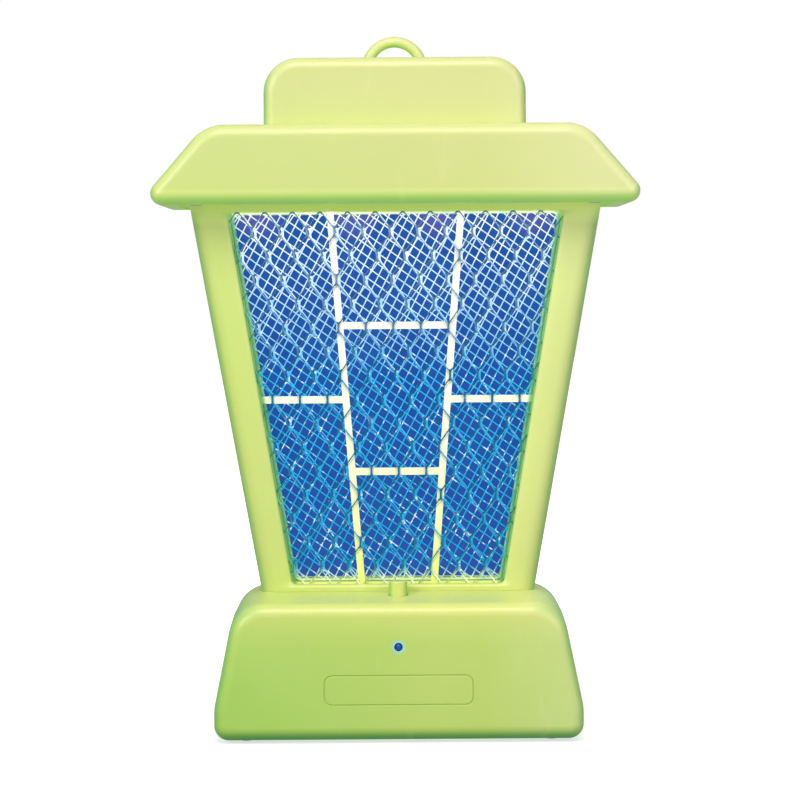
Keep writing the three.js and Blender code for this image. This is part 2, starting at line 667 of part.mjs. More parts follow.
function gridSheet(front) {
  const points = outlinePoints(insetCorners(carrierOpening, -GRID.overlap));
  return leanForward(standingPlate(points, front, front + GRID.thickness));
}

function lightPanel() {
  const corners = trapezoid(PANEL.bottom, PANEL.top, CAVITY.margin + PANEL.grip, 0);
  return standingPlate(outlinePoints(corners), -PANEL.halfThickness, PANEL.halfThickness);
}

// ---- Roof, cap and loop ----

const roofCorners = mirrored([
  [ROOF.eavesHalfWidth, ROOF.bottom, ROOF.tipRadius],
  [ROOF.ridgeHalfWidth, ROOF.top, ROOF.ridgeRadius],
]);
const ROOF_BOSS = { x: 85.5, y: 33, radius: 4 };
const CAP_BOSS = { x: 38, radius: 3.8 };

function roofShell() {
  const outside = solid(loft(slabRings(() => roofCorners, ROOF.halfDepth, ROOF.edgeRadius)));
  const inside = insetCorners(roofCorners, WALL);
  const hollow = loft([ROOF.halfDepth - WALL, -ROOF.halfDepth + WALL].map((y) => ringAtDepth(inside, y)));
  const bottomOpening = block(
    -ROOF.openHalfWidth, ROOF.openHalfWidth, -ROOF.openHalfDepth, ROOF.openHalfDepth,
    ROOF.bottom - 1, ROOF.bottom + ROOF.openHeight,
  );
  let body = outside.subtract(join(hollow, bottomOpening));
  const bossBottom = SOFFIT.bottom + SOFFIT.thickness + GAP;
  for (const [x, y] of corners4(ROOF_BOSS.x, ROOF_BOSS.y)) {
    body = body.add(solid(upright(ROOF_BOSS.radius, bossBottom, ROOF.top, x, y)).intersect(outside));
    body = cut(body, upright(SCREW.bore, ROOF.bottom, bossBottom + SCREW.boreDepth, x, y));
  }
  for (const x of [-CAP_BOSS.x, CAP_BOSS.x]) {
    body = cut(body, upright(SCREW.bore, ROOF.top - WALL - 1, ROOF.top + 1, x, 0));
  }
  return surface(body);
}

function soffitPlate() {
  const halfWidth = ROOF.openHalfWidth - GAP;
  const halfDepth = ROOF.openHalfDepth - GAP;
  const top = SOFFIT.bottom + SOFFIT.thickness;
  const plate = block(-halfWidth, halfWidth, -halfDepth, halfDepth, SOFFIT.bottom, top);
  const hole = (radius, x, y) => upright(radius, SOFFIT.bottom - 1, top + 1, x, y);
  const holes = [
    ...corners4(ROOF_BOSS.x, ROOF_BOSS.y).map(([x, y]) => hole(SCREW.bore, x, y)),
    ...LED_PLACES.map((x) => hole(UV_LED.radius + GAP * 2, x, 0)),
  ];
  return surface(cut(solid(plate), ...holes));
}

function uvLedBoard() {
  const reach = LED_PLACES.at(-1) + LED_BOARD.endMargin;
  const bottom = UV_LED.top + GAP;
  return pillar(0, 0, reach, LED_BOARD.halfDepth, bottom, bottom + LED_BOARD.thickness);
}

// A 5 mm lamp that points down at the light panel's top edge
function uvLed(x) {
  const { radius, tip, flange, top } = UV_LED;
  const dome = [0, 30, 60, 90].map((degrees) => {
    const angle = THREE.MathUtils.degToRad(degrees);
    return [radius * Math.sin(angle), tip + radius - radius * Math.cos(angle)];
  });
  const flangeBottom = SOFFIT.bottom + SOFFIT.thickness + GAP / 2;
  return turned([...dome, [radius, flangeBottom], [flange, flangeBottom], [flange, top], [0, top]], x, 0);
}

function capShell() {
  const corners = mirrored([
    [CAP.halfWidth, ROOF.top - CAP.edgeRadius - 1, 0],
    [CAP.halfWidth, CAP.top, CAP.cornerRadius],
  ]);
  const outside = loft(slabRings(() => corners, CAP.halfDepth, CAP.edgeRadius));
  const inside = insetCorners(corners, WALL);
  const hollow = loft([CAP.halfDepth - WALL, -CAP.halfDepth + WALL].map((y) => ringAtDepth(inside, y)));
  let body = solid(outside).subtract(solid(hollow));
  const below = block(
    -CAP.halfWidth - 1, CAP.halfWidth + 1, -CAP.halfDepth - 1, CAP.halfDepth + 1,
    ROOF.top - CAP.edgeRadius - 2, ROOF.top + GAP,
  );
  body = cut(body, below);
  for (const x of [-CAP_BOSS.x, CAP_BOSS.x]) {
    body = body.add(solid(upright(CAP_BOSS.radius, ROOF.top + GAP, CAP.top - WALL / 2, x, 0)));
    body = cut(body, upright(SCREW.bore, ROOF.top, ROOF.top + SCREW.boreDepth, x, 0));
  }
  const legPlace = LOOP.radius - GAP;
  const legHoles = [-legPlace, legPlace].map((x) => (
    upright(LOOP.rodRadius + GAP * 2, CAP.top - WALL * 2, CAP.top + 1, x, 0, 12)
  ));
  return surface(cut(body, ...legHoles));
}

// A round rod bent to a half ring on two legs, fixed to a foot bar under the cap's top
function hangingLoop() {
  const steps = 12;
  const sides = 10;
  const footTop = CAP.top - WALL - GAP * 2;
  const legBottom = footTop - 1;
  const path = [{ x: LOOP.radius, z: legBottom, angle: 0 }];
  for (let step = 0; step <= steps; step += 1) {
    const angle = step / steps * Math.PI;
    const height = LOOP.centreHeight + LOOP.radius * Math.sin(angle);
    path.push({ x: LOOP.radius * Math.cos(angle), z: height, angle });
  }
  path.push({ x: -LOOP.radius, z: legBottom, angle: Math.PI });
  const rings = path.map(({ x, z, angle }) => Array.from({ length: sides }, (_, k) => {
    const around = k / sides * Math.PI * 2;
    const out = LOOP.rodRadius * Math.cos(around);
    return new THREE.Vector3(
      x + out * Math.cos(angle), LOOP.rodRadius * Math.sin(around), z + out * Math.sin(angle),
    );
  }));
  const foot = pillar(0, 0, LOOP.radius + LOOP.footMargin, LOOP.footMargin, LOOP.footHeight, footTop);
  return surface(join(loft(rings), foot));
}

// ---- Screws ----

// A pan-head screw. It points up when direction is 1, with its head's outer face at headFace.
function screw(x, y, headFace, length, direction = 1) {
  const neck = headFace + direction * SCREW.headHeight;
  const tip = headFace + direction * length;
  const profile = [
    [0, headFace], [SCREW.head, headFace], [SCREW.head, neck],
    [SCREW.shank, neck], [SCREW.shank, tip - direction], [0, tip],
  ];
  return turned(direction > 0 ? profile : profile.reverse(), x, y);
}

// ---- Assembly ----

const group = new THREE.Group();

function add(name, geometry, finish) {
  const mesh = new THREE.Mesh(geometry, new THREE.MeshStandardMaterial(finish));
  mesh.name = name;
  group.add(mesh);
  return mesh;
}

// The same piece at the front and, turned half a turn, at the rear
function addFrontAndRear(name, makeGeometry, finish) {
  add(`front_${name}`, makeGeometry(), finish);
  add(`rear_${name}`, makeGeometry(), finish).rotation.z = Math.PI;
}

add('hanging_loop', hangingLoop(), LIME);
add('cap_shell', capShell(), LIME);
add('roof_shell', roofShell(), LIME);
add('soffit_plate', soffitPlate(), LIME);
add('uv_led_board', uvLedBoard(), BOARD_GREEN);
LED_PLACES.forEach((x, i) => add(`uv_led_${i + 1}`, uvLed(x), CLEAR_VIOLET));

addFrontAndRear('frame', frameHalf, LIME);
addFrontAndRear('guard_mesh', guardMesh, STEEL);
addFrontAndRear('window_bars', windowBars, LIGHT_LIME);
addFrontAndRear('grid_carrier', gridCarrier, LIME);
addFrontAndRear('fine_grid', () => gridSheet(CARRIER.depth - GAP - GRID.thickness), STEEL);
addFrontAndRear('coarse_grid', () => gridSheet(CARRIER.depth + CARRIER.thickness + GAP), STEEL);
add('light_panel', lightPanel(), BLUE_ACRYLIC);

add('base_shell', baseShell(), LIME);
add('base_plate', basePlate(), LIME);
add('battery_door', batteryDoor(), LIME);
add('catch_tray', catchTray(), LIME);
corners4(PAD.x, PAD.y).forEach(([x, y], i) => add(`rubber_foot_${i + 1}`, rubberFoot(x, y), RUBBER));

for (let i = 0; i < CELL.count; i += 1) {
  const x = (i - (CELL.count - 1) / 2) * CELL.pitch;
  add(`battery_cell_${i + 1}`, batteryCell(x), CELL_JACKET);
}
const cellRear = CELL.front + CELL.length;
const frontStripRear = CELL.front - GAP;
const rearStripFront = cellRear + GAP;
add('front_contact_strip', contactStrip(frontStripRear - CONTACT.frontThickness, frontStripRear), STEEL);
add('rear_contact_strip', contactStrip(rearStripFront, rearStripFront + CONTACT.thickness), STEEL);
add('main_board', mainBoard(), BOARD_GREEN);
add('hv_transformer', hvTransformer(), WINDING_YELLOW);
add('hv_capacitor', hvCapacitor(), FILM_BROWN);
add('push_switch', pushSwitch(), BLACK);
add('power_button', powerButton(), LIME);
add('button_spring', buttonSpring(), STEEL);
add('indicator_led', indicatorLed(), CLEAR_BLUE);

corners4(PLATE_BOSS.x, PLATE_BOSS.y).forEach(([x, y], i) => {
  const headFace = PLATE.bottom - GAP - SCREW.headHeight;
  add(`base_plate_screw_${i + 1}`, screw(x, y, headFace, SCREW_LENGTHS.base), STEEL);
});
corners4(FOOT_SCREW.x, FOOT_SCREW.y).forEach(([x, y], i) => {
  const headFace = BASE.crownHeight - WALL - GAP - SCREW.headHeight;
  add(`frame_screw_${i + 1}`, screw(x, y, headFace, SCREW_LENGTHS.frame), STEEL);
});
corners4(ROOF_BOSS.x, ROOF_BOSS.y).forEach(([x, y], i) => {
  const headFace = SOFFIT.bottom - GAP - SCREW.headHeight;
  add(`roof_screw_${i + 1}`, screw(x, y, headFace, SCREW_LENGTHS.roof), STEEL);
});
[-CAP_BOSS.x, CAP_BOSS.x].forEach((x, i) => {
  const headFace = ROOF.top - WALL - GAP - SCREW.headHeight;
  add(`cap_screw_${i + 1}`, screw(x, 0, headFace, SCREW_LENGTHS.roof), STEEL);
});

export default group;
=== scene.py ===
"""The looks of a lantern-shaped electric bug zapper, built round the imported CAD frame.
Shapes are drawn in millimetres and turned into metres when a piece is kept."""

from math import atan, ceil, cos, hypot, inf, pi, radians, sin, tan

import bpy
from mathutils import Matrix, Vector


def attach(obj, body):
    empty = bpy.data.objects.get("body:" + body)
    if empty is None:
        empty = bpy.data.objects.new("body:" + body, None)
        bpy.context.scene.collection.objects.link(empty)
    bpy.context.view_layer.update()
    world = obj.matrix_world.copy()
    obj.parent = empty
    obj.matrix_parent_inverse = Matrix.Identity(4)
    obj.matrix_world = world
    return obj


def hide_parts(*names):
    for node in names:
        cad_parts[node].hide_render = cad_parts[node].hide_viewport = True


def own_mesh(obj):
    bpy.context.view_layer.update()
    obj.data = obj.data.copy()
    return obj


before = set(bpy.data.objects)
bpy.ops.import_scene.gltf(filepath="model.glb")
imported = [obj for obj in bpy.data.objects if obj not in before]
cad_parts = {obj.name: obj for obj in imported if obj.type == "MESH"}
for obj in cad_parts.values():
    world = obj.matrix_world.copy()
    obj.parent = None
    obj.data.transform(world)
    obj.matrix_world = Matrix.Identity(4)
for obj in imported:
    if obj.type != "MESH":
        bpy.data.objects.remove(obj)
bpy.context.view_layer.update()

# ---- Dimensions, in millimetres ----

MM = 0.001
GAP = 0.3
WALL = 2.5
FAR = 120  # beyond every part, for blocks that cut things away
ARC_STEPS = 12
HOLE_SIDES = 28

BASE_HALF_WIDTH = 79.1
BASE_SHOULDER_HALF_WIDTH = 69.9
BASE_HALF_DEPTH = 45
BASE_BOTTOM = 1.2
BASE_KNEE = 14.5
BASE_SHOULDER = 60
BASE_CROWN = 63
BASE_FILLET = 6
BASE_BOTTOM_ROUND, BASE_KNEE_ROUND, BASE_SHOULDER_ROUND = 6.4, 25, 15
BASE_OPENING = (71.5, 37.5, 8)  # half width, half depth and top of the opening under the base

FOOT_HALF_WIDTH, HEAD_HALF_WIDTH = 59.2, 88.7
FOOT_HALF_DEPTH, HEAD_HALF_DEPTH = 21, 31
FOOT, HEAD = BASE_CROWN + GAP, 230.9
FRAME_CORNER = 7
FRAME_WALL = 2.4

WINDOW_BOTTOM, WINDOW_TOP = 66, 227.4
WINDOW_HALF_WIDTHS = (45.7, 72.3)  # at the window's bottom and top
WINDOW_CORNER = 2.5
CAVITY_BOTTOM, CAVITY_TOP, CAVITY_MARGIN = 65, 229, 2.5
PANEL_GRIP, PANEL_HALF_THICKNESS = 1.3, 2
LIGHT_SLOT_HALF_WIDTH, LIGHT_SLOT_HALF_DEPTH = 66, 3.4
POCKET_END_WALL, POCKET_SIDE_WALL = 3, 2
POST_ROUND_WIDTH, POST_ROUND_DEPTH = 6.5, 1.9  # how the posts round over towards the window
SILL_SHARE = 0.2  # how much less the sill rounds over

ROOF_BOTTOM, ROOF_TOP = 230, 264
EAVES_HALF_WIDTH, EAVES_ROUND = 110.1, 5
RIDGE_HALF_WIDTH, RIDGE_ROUND = 80.7, 18
ROOF_HALF_DEPTH = 47
ROOF_FILLET = 5.5
ROOF_OPENING = (94, 41, 5)  # half width, half depth and height of the opening under the roof
SOFFIT_BOTTOM, SOFFIT_THICKNESS = 231.2, 2
CAP_HALF_WIDTH, CAP_TOP, CAP_HALF_DEPTH = 56.2, 293, 33
CAP_CORNER, CAP_FILLET = 15, 5
LOOP_RADIUS, LOOP_CENTRE, ROD_RADIUS = 12, 289.5, 2.35
LOOP_FOOT_BOTTOM, LOOP_FOOT_REACH = 284.6, 5

GUARD_DEPTH, COARSE_DEPTH, FINE_DEPTH = 3.15, 14.5, 9.5  # each layer's middle, behind the frame's front face
CELL_WIDTH, CELL_HEIGHT, BOND = 11.85, 20.7, 2.3
STRAND, SHEET_THICKNESS = 0.46, 0.42
STRAND_TWIST = 0.24  # how far a hole's sides stand in front of and behind the sheet
SIDE_ROUND, TIP_ROUND = 1.6, 1.2  # at a hole's four side corners and two tips
LATTICE_LEAN = radians(1.8)
GUARD_RIM, COARSE_RIM, FINE_RIM = 0.6, 1.0, 0.6
GUARD_SHIFT = -2.9  # how far the guard's lattice stands off centre
COARSE_SHIFT = (GUARD_SHIFT + 1.1, -1.4)
FINE_PITCH = 3.8
FINE_DIRECTIONS = (radians(-36), radians(63))
WIRE = (0.26, 0.16)  # half width and half depth of a flattened wire
WEAVE = 0.1
CARRIER_LIP, CARRIER_BOTTOM_LIP = 1.8, 1.6

TRAY_HALF_WIDTH, TRAY_FRONT, TRAY_BOTTOM, TRAY_TOP = 49.6, -19.2, 36.6, 53.6
CHUTE_HALF_WIDTH, CHUTE_NEAR, CHUTE_FAR = 42, 3, 16.5
PLATE_BOTTOM, PLATE_THICKNESS = 1.5, 2.2
BUTTON_Y, BUTTON_RADIUS, BUTTON_TOP = -26.8, 3.95, 68
BUTTON_FLANGE, FLANGE_BOTTOM, FLANGE_TOP = 5.4, 56.6, 58.1
BUTTON_TRAVEL, SWITCH_TOP = 2.2, 53.3
LAMP_HEIGHT, LAMP_RADIUS = 41.3, 1.5
BADGE_HALF_WIDTH, BADGE_BOTTOM, BADGE_TOP, BADGE_CORNER = 32, 16.3, 29.4, 3.5
BADGE_LINE, BADGE_DEPTH = 0.55, 0.35

PLATE_BOSSES, PLATE_BOSS_RADIUS = (65.5, 32), 4.2
FOOT_SCREWS, FOOT_BOSS_RADIUS, FOOT_BOSS_HEIGHT = (53.4, 11.5), 3.2, 12
ROOF_BOSSES, ROOF_BOSS_RADIUS = (85.5, 33), 4
CAP_BOSSES, CAP_BOSS_RADIUS = ((-38, 0), (38, 0)), 3.8
SCREW_BORE, BORE_DEPTH, FOOT_BORE_DEPTH = 1.6, 12, 9
SCREW_HEAD, SCREW_HEAD_HEIGHT, SCREW_SHANK = 2.9, 0.9, 1.3
RECESS_DEPTH, RECESS_ARMS = 0.6, ((1.5, 0.3), (0.3, 1.5))
THREAD_PITCH, THREAD_DEPTH = 1.1, 0.25
CELL_RADIUS, CELL_FRONT, CELL_LENGTH, CELL_PITCH = 13.1, -20, 50, 26.8
NUB_RADIUS, NUB_LENGTH = 3.2, 1.9
TRANSFORMER_MIDDLE, WINDING_HALF_HEIGHT = 39.2, 3.5
LED_PLACES = (-60, -18, 18, 60)

LEAN = atan((HEAD_HALF_DEPTH - FOOT_HALF_DEPTH) / (HEAD - FOOT))
LEAN_FORWARD = (
    Matrix.Translation((0, -FOOT_HALF_DEPTH, FOOT))
    @ Matrix.Rotation(LEAN, 4, "X")
    @ Matrix.Translation((0, 0, -FOOT))
)
HALF_TURN = Matrix.Rotation(pi, 4, "Z")


# ---- Solids, in millimetres ----

def placed(name, data):
    obj = bpy.data.objects.new(name, data)
    bpy.context.scene.collection.objects.link(obj)
    return obj


def solid(vertices, faces):
    mesh = bpy.data.meshes.new("solid")
    mesh.from_pydata(vertices, [], faces)
    return placed("solid", mesh)


def copied(obj):
    return placed("solid", obj.data.copy())


def moved(obj, matrix):
    obj.data.transform(matrix)
    return obj


def combined(body, tools, operation="DIFFERENCE"):
    """body with each tool cut away, or added where operation is UNION."""
    for tool in tools:
        step = body.modifiers.new(operation, "BOOLEAN")
        step.object = tool
        step.operation = operation
        step.solver = "EXACT"
    bpy.context.view_layer.update()
    graph = bpy.context.evaluated_depsgraph_get()
    result = bpy.data.meshes.new_from_object(body.evaluated_get(graph))
    body.modifiers.clear()
    body.data = result
    for tool in tools:
        bpy.data.objects.remove(tool)
    return body


def loft(rings):
    """A closed solid through rings with equal numbers of points, which run towards a viewer who sees
    each of them go round counter-clockwise."""
    count = len(rings[0])
    last = (len(rings) - 1) * count
    faces = [tuple(reversed(range(count))), tuple(range(last, last + count))]
    for start in range(0, last, count):
        for i in range(count):
            following = start + (i + 1) % count
            faces.append((start + i, following, following + count, start + i + count))
    return solid([tuple(point) for ring in rings for point in ring], faces)


def circle(centre, first, second, radius, sides, start=0.0):
    """Points round centre, from the direction first towards the direction second."""
    points = []
    for k in range(sides):
        angle = 2 * pi * (k + start) / sides
        out, over = radius * cos(angle), radius * sin(angle)
        points.append(tuple(c + a * out + b * over for c, a, b in zip(centre, first, second)))
    return points


def turned(profile, x, y, sides=HOLE_SIDES):
    """A solid turned about an upright axis, from its (radius, height) points off the axis, bottom first."""
    across, over = (1, 0, 0), (0, 1, 0)
    return loft([circle((x, y, height), across, over, radius, sides, 0.5) for radius, height in profile])


def block(x_min, x_max, y_min, y_max, z_min, z_max):
    plan = [(x_min, y_min), (x_max, y_min), (x_max, y_max), (x_min, y_max)]
    return loft([[(x, y, z) for x, y in plan] for z in (z_min, z_max)])


def column(radius, bottom, top, x, y, sides=HOLE_SIDES):
    return turned([(radius, bottom), (radius, top)], x, y, sides)


def four_corners(x, y):
    return [(-x, -y), (x, -y), (-x, y), (x, y)]


# ---- Outlines: counter-clockwise corners (across, up, rounding) ----

def edge_direction(start, end):
    return Vector((end[0] - start[0], end[1] - start[1])).normalized()


def inward(direction):
    return Vector((-direction.y, direction.x))


def inset(corners, distance):
    """The same outline with every edge moved inwards by distance."""
    result = []
    for i, (x, z, radius) in enumerate(corners):
        before = inward(edge_direction(corners[i - 1], corners[i]))
        after = inward(edge_direction(corners[i], corners[(i + 1) % len(corners)]))
        shift = (before + after) * (distance / (1 + before.dot(after)))
        rounding = max(radius - distance, GAP) if radius else 0
        result.append((x + shift.x, z + shift.y, rounding))
    return result


def outline(corners, steps=ARC_STEPS):
    points = []
    for i, (x, z, radius) in enumerate(corners):
        corner = Vector((x, z))
        if radius == 0:
            points.append(corner)
            continue
        arriving = edge_direction(corners[i - 1], corners[i])
        leaving = edge_direction(corners[i], corners[(i + 1) % len(corners)])
        turn = arriving.angle(leaving)
        centre = corner - arriving * radius * tan(turn / 2) + inward(arriving) * radius
        for k in range(steps + 1):
            points.append(centre - Matrix.Rotation(turn * k / steps, 2) @ inward(arriving) * radius)
    return points


def mirrored(right_corners):
    left = [(-x, z, radius) for x, z, radius in reversed(right_corners)]
    return right_corners + left


def ring_at_depth(corners, y):
    return [(point.x, y, point.y) for point in outline(corners)]


def slab(corners_at, half_depth, fillet, middle=()):
    """An upright slab with filleted front and rear edges. corners_at gives its outline at a depth."""
    rings = []
    for k in range(ARC_STEPS + 1):
        angle = pi / 2 * k / ARC_STEPS
        y = half_depth - fillet + fillet * cos(angle)
        rings.append((y, fillet - fillet * sin(angle)))
    ends = [(-y, distance) for y, distance in reversed(rings)]
    rows = rings + [(y, 0) for y in middle] + ends
    return loft([ring_at_depth(inset(corners_at(y), distance), y) for y, distance in rows])


def hollow_of(corners_at, half_depth, middle=()):
    """The space inside a slab with walls all round."""
    rows = (half_depth - WALL, *middle, WALL - half_depth)
    return loft([ring_at_depth(inset(corners_at(y), WALL), y) for y in rows])


def plate(points, front, rear):
    """A flat plate that stands between two depths."""
    return loft([[(point[0], y, point[1]) for point in points] for y in (rear, front)])


def window_half_width(height):
    share = (height - WINDOW_BOTTOM) / (WINDOW_TOP - WINDOW_BOTTOM)
    low, high = WINDOW_HALF_WIDTHS
    return low + share * (high - low)


def trapezoid(bottom, top, margin, radius):
    return mirrored([
        (window_half_width(bottom) + margin, bottom, radius),
        (window_half_width(top) + margin, top, radius),
    ])


LAYER_OUTLINE = trapezoid(CAVITY_BOTTOM + GAP, CAVITY_TOP - GAP, CAVITY_MARGIN - GAP, WINDOW_CORNER)
CARRIER_OPENING = trapezoid(
    WINDOW_BOTTOM + CARRIER_BOTTOM_LIP, WINDOW_TOP - CARRIER_LIP, -CARRIER_LIP, WINDOW_CORNER,
)
GRID_OUTLINE = inset(CARRIER_OPENING, -1.0)


# ---- Material helpers ----

MATERIALS = {}  # each one made below, by its name


class Look:
    """A Principled material and short ways to add the nodes that vary it over the surface."""

    def __init__(self, name, **sockets):
        self.material = MATERIALS[name] = bpy.data.materials.new(name)
        self.material.use_nodes = True
        self.tree = self.material.node_tree
        self.shader = self.tree.nodes["Principled BSDF"]
        self.place = self.node("TexCoord").outputs["Object"]
        self.x, self.y, self.z = self.axes(self.place)
        for socket, value in sockets.items():
            self.shader.inputs[socket.replace("_", " ")].default_value = value

    def node(self, kind, **properties):
        made = self.tree.nodes.new("ShaderNode" + kind)
        for name, value in properties.items():
            setattr(made, name, value)
        return made

    def link(self, source, target):
        self.tree.links.new(source, target)

    def noise(self, scale, detail=3, stretch=(1, 1, 1)):
        mapping = self.node("Mapping")
        mapping.inputs["Scale"].default_value = stretch
        self.link(self.place, mapping.inputs["Vector"])
        noise = self.node("TexNoise")
        noise.inputs["Scale"].default_value = scale
        noise.inputs["Detail"].default_value = detail
        self.link(mapping.outputs["Vector"], noise.inputs["Vector"])
        return noise.outputs["Fac"]

    def ranged(self, value, low, high, new_low=0.0, new_high=1.0):
        step = self.node("MapRange")
        limits = {"From Min": low, "From Max": high, "To Min": new_low, "To Max": new_high}
        for name, number in limits.items():
            step.inputs[name].default_value = number
        self.link(value, step.inputs["Value"])
        return step.outputs["Result"]

    def ramp(self, value, stops):
        """Colours along value. stops are (position, linear colour)."""
        ramp = self.node("ValToRGB")
        elements = ramp.color_ramp.elements
        while len(elements) < len(stops):
            elements.new(0.5)
        for element, (position, colour) in zip(elements, stops):
            element.position = position
            element.color = (*colour, 1)
        self.link(value, ramp.inputs["Fac"])
        return ramp.outputs["Color"]

    def mottle(self, scale, dark, light):
        """Two colours in soft patches. A larger scale makes them smaller."""
        return self.ramp(self.noise(scale), [(0.3, dark), (0.7, light)])

    def mix(self, factor, first, second):
        """first and second are sockets or fixed colours."""
        step = self.node("Mix", data_type="RGBA")
        for name, value in ((6, first), (7, second)):
            if isinstance(value, tuple):
                step.inputs[name].default_value = (*value, 1)
            else:
                self.link(value, step.inputs[name])
        self.link(factor, step.inputs[0])
        return step.outputs[2]

    def maths(self, operation, first, second=0.0):
        step = self.node("Math", operation=operation)
        for socket, value in zip(step.inputs, (first, second)):
            if isinstance(value, (int, float)):
                socket.default_value = value
            else:
                self.link(value, socket)
        return step.outputs[0]

    def distance(self, value, middle=0.0):
        """How far value is from middle, either way."""
        return self.maths("ABSOLUTE", self.maths("SUBTRACT", value, middle))

    def axes(self, vector):
        split = self.node("SeparateXYZ")
        self.link(vector, split.inputs[0])
        return list(split.outputs)

    def colour(self, socket):
        self.link(socket, self.shader.inputs["Base Color"])

    def glow(self, socket):
        self.link(socket, self.shader.inputs["Emission Color"])

    def rough(self, low, high, scale=220):
        self.link(self.ranged(self.noise(scale), 0.3, 0.7, low, high), self.shader.inputs["Roughness"])

    def bump(self, height, strength, distance):
        bump = self.node("Bump")
        bump.inputs["Strength"].default_value = strength
        bump.inputs["Distance"].default_value = distance
        self.link(height, bump.inputs["Height"])
        self.link(bump.outputs["Normal"], self.shader.inputs["Normal"])


def speckled(name, dark, light, roughness, grain=400, bump=0.05, **sockets):
    """A plain moulded, rolled or coated finish: two close colours, uneven gloss and a fine grain."""
    look = Look(name, **sockets)
    look.colour(look.mottle(grain / 8, dark, light))
    look.rough(*roughness)
    look.bump(look.noise(grain), bump, 0.0003)


# ---- Materials ----

WINDOW_SPAN = (CAVITY_BOTTOM * MM, CAVITY_TOP * MM)
BLACK = (0, 0, 0)
PAINTED_LIME_REFLECTION = (0.70, 0.82, 0.40)  # a painted reflection of the lime plastic, on metal beside it
# how tall the deep green painted shade is over a bottom edge
BOTTOM_SHADE_HEIGHT = 4


def lime_plastic(name, bottom_shade_strength=0.0, bottom_shade_start=0.0):
    """Satin, slightly see-through lime plastic with painted light and shade in its colour: painted light by
    height makes it paler at the top; painted shade makes it greener low down towards the left end, on the
    base's shoulders and where it faces down or sideways; painted light makes it paler towards the right end.
    A painted glow lights it at the frame's head, where the lamps are, and the indicator lamp's light is
    painted on the wall round it. The last two arguments give the strength and the bottom of a deep green
    painted shade over the few millimetres above that bottom."""
    look = Look(
        name, Subsurface_Weight=0.12, Subsurface_Scale=0.003, Specular_IOR_Level=0.35, Emission_Strength=0.4,
        Subsurface_Radius=(0.6, 1.0, 0.2), Coat_Weight=0.3, Coat_Roughness=0.25,
    )
    height = look.ranged(look.z, 0.0, 0.28)
    # painted light and shade by height: lighter and darker bands from the base up to the cap, darker at the
    # eaves
    painted_height_light = look.ramp(height, [
        (0.0, (0.45, 0.65, 0.12)), (0.15, (0.50, 0.68, 0.14)), (0.185, (0.60, 0.72, 0.165)),
        (0.2, (0.68, 0.72, 0.20)), (0.24, (0.65, 0.73, 0.19)), (0.38, (0.70, 0.79, 0.22)),
        (0.7, (0.69, 0.79, 0.22)), (0.82, (0.60, 0.67, 0.22)), (1.0, (0.63, 0.65, 0.27)),
    ])
    # painted shade: greener and darker towards the left end, low down
    painted_low_left_shade = look.maths(
        "MULTIPLY",
        look.ranged(look.x, -0.075, 0.02, 0.55, 0.0),
        look.ranged(look.z, 0.025, 0.065, 1.0, 0.3),
    )
    low_left_shaded = look.mix(painted_low_left_shade, painted_height_light, (0.30, 0.60, 0.09))
    clouds = look.ranged(look.noise(14, 2), 0.35, 0.65, 0, 0.25)
    cloudy = look.mix(clouds, low_left_shaded, (0.66, 0.71, 0.25))
    # painted light: paler towards the right end
    painted_right_light = look.ranged(look.x, 0.035, 0.085, 0.0, 0.25)
    right_lit = look.mix(painted_right_light, cloudy, (0.90, 0.88, 0.56))
    normal_x, _, normal_z = look.axes(look.node("NewGeometry").outputs["Normal"])
    # painted shade: surfaces that face sideways turn greener
    painted_side_shade = look.ranged(look.distance(normal_x), 0.55, 0.95, 0.0, 0.7)
    side_shaded = look.mix(painted_side_shade, right_lit, (0.16, 0.53, 0.10))
    # painted shade on the base's shoulders
    shoulder_shaded = look.mix(painted_shoulder_shade(look, normal_z), side_shaded, (0.10, 0.50, 0.16))
    # painted shade: surfaces that face down turn deep green
    upward = look.ranged(normal_z, -0.95, 0.0, 0.3, 1.0)
    shaded = look.mix(upward, (0.22, 0.62, 0.06), shoulder_shaded)
    # painted shade: a deep green band over a bottom edge
    rim = look.ranged(look.z, bottom_shade_start * MM, (bottom_shade_start + BOTTOM_SHADE_HEIGHT) * MM, bottom_shade_strength, 0.0)
    bottom_shaded = look.mix(rim, shaded, (0.02, 0.46, 0.09))
    scuffs = look.ranged(look.noise(90, 6, (1, 1, 0.25)), 0.62, 0.72, 0, 0.12)
    wear_and_shade = look.mix(scuffs, bottom_shaded, (0.80, 0.86, 0.45))
    # painted light: the indicator lamp's light on the wall round it
    look.colour(look.mix(painted_lamp_light(look), wear_and_shade, (0.30, 0.74, 0.80)))
    # painted light: a glow round the frame's head, under the eaves where the lamps are
    painted_lamp_glow = look.ranged(look.distance(look.z, CAVITY_TOP * MM), 0.001, 0.008, 1.0, 0.0)
    look.glow(look.mix(painted_lamp_glow, BLACK, (0.45, 0.62, 0.13)))
    look.rough(0.36, 0.5, 500)
    look.bump(look.noise(1600, 2), 0.06, 0.0002)


def painted_shoulder_shade(look, normal_z):
    """Painted shade: above 0 only on the base's two shoulders, and most at their ends."""
    ends = look.ranged(look.distance(look.x), 0.056, 0.074, 0.0, 0.65)
    topside = look.ranged(normal_z, 0.15, 0.6)
    low_down = look.ranged(look.z, 0.066, 0.072, 1.0, 0.0)
    return look.maths("MULTIPLY", look.maths("MULTIPLY", ends, topside), low_down)


def painted_lamp_light(look):
    """Painted light of the indicator lamp: 1 beside it, and 0 a little further out."""
    away = look.node("VectorMath", operation="DISTANCE")
    look.link(look.place, away.inputs[0])
    away.inputs[1].default_value = (0, -BASE_HALF_DEPTH * MM, LAMP_HEIGHT * MM)
    return look.ranged(away.outputs["Value"], 0.0020, 0.0034, 0.85, 0.0)


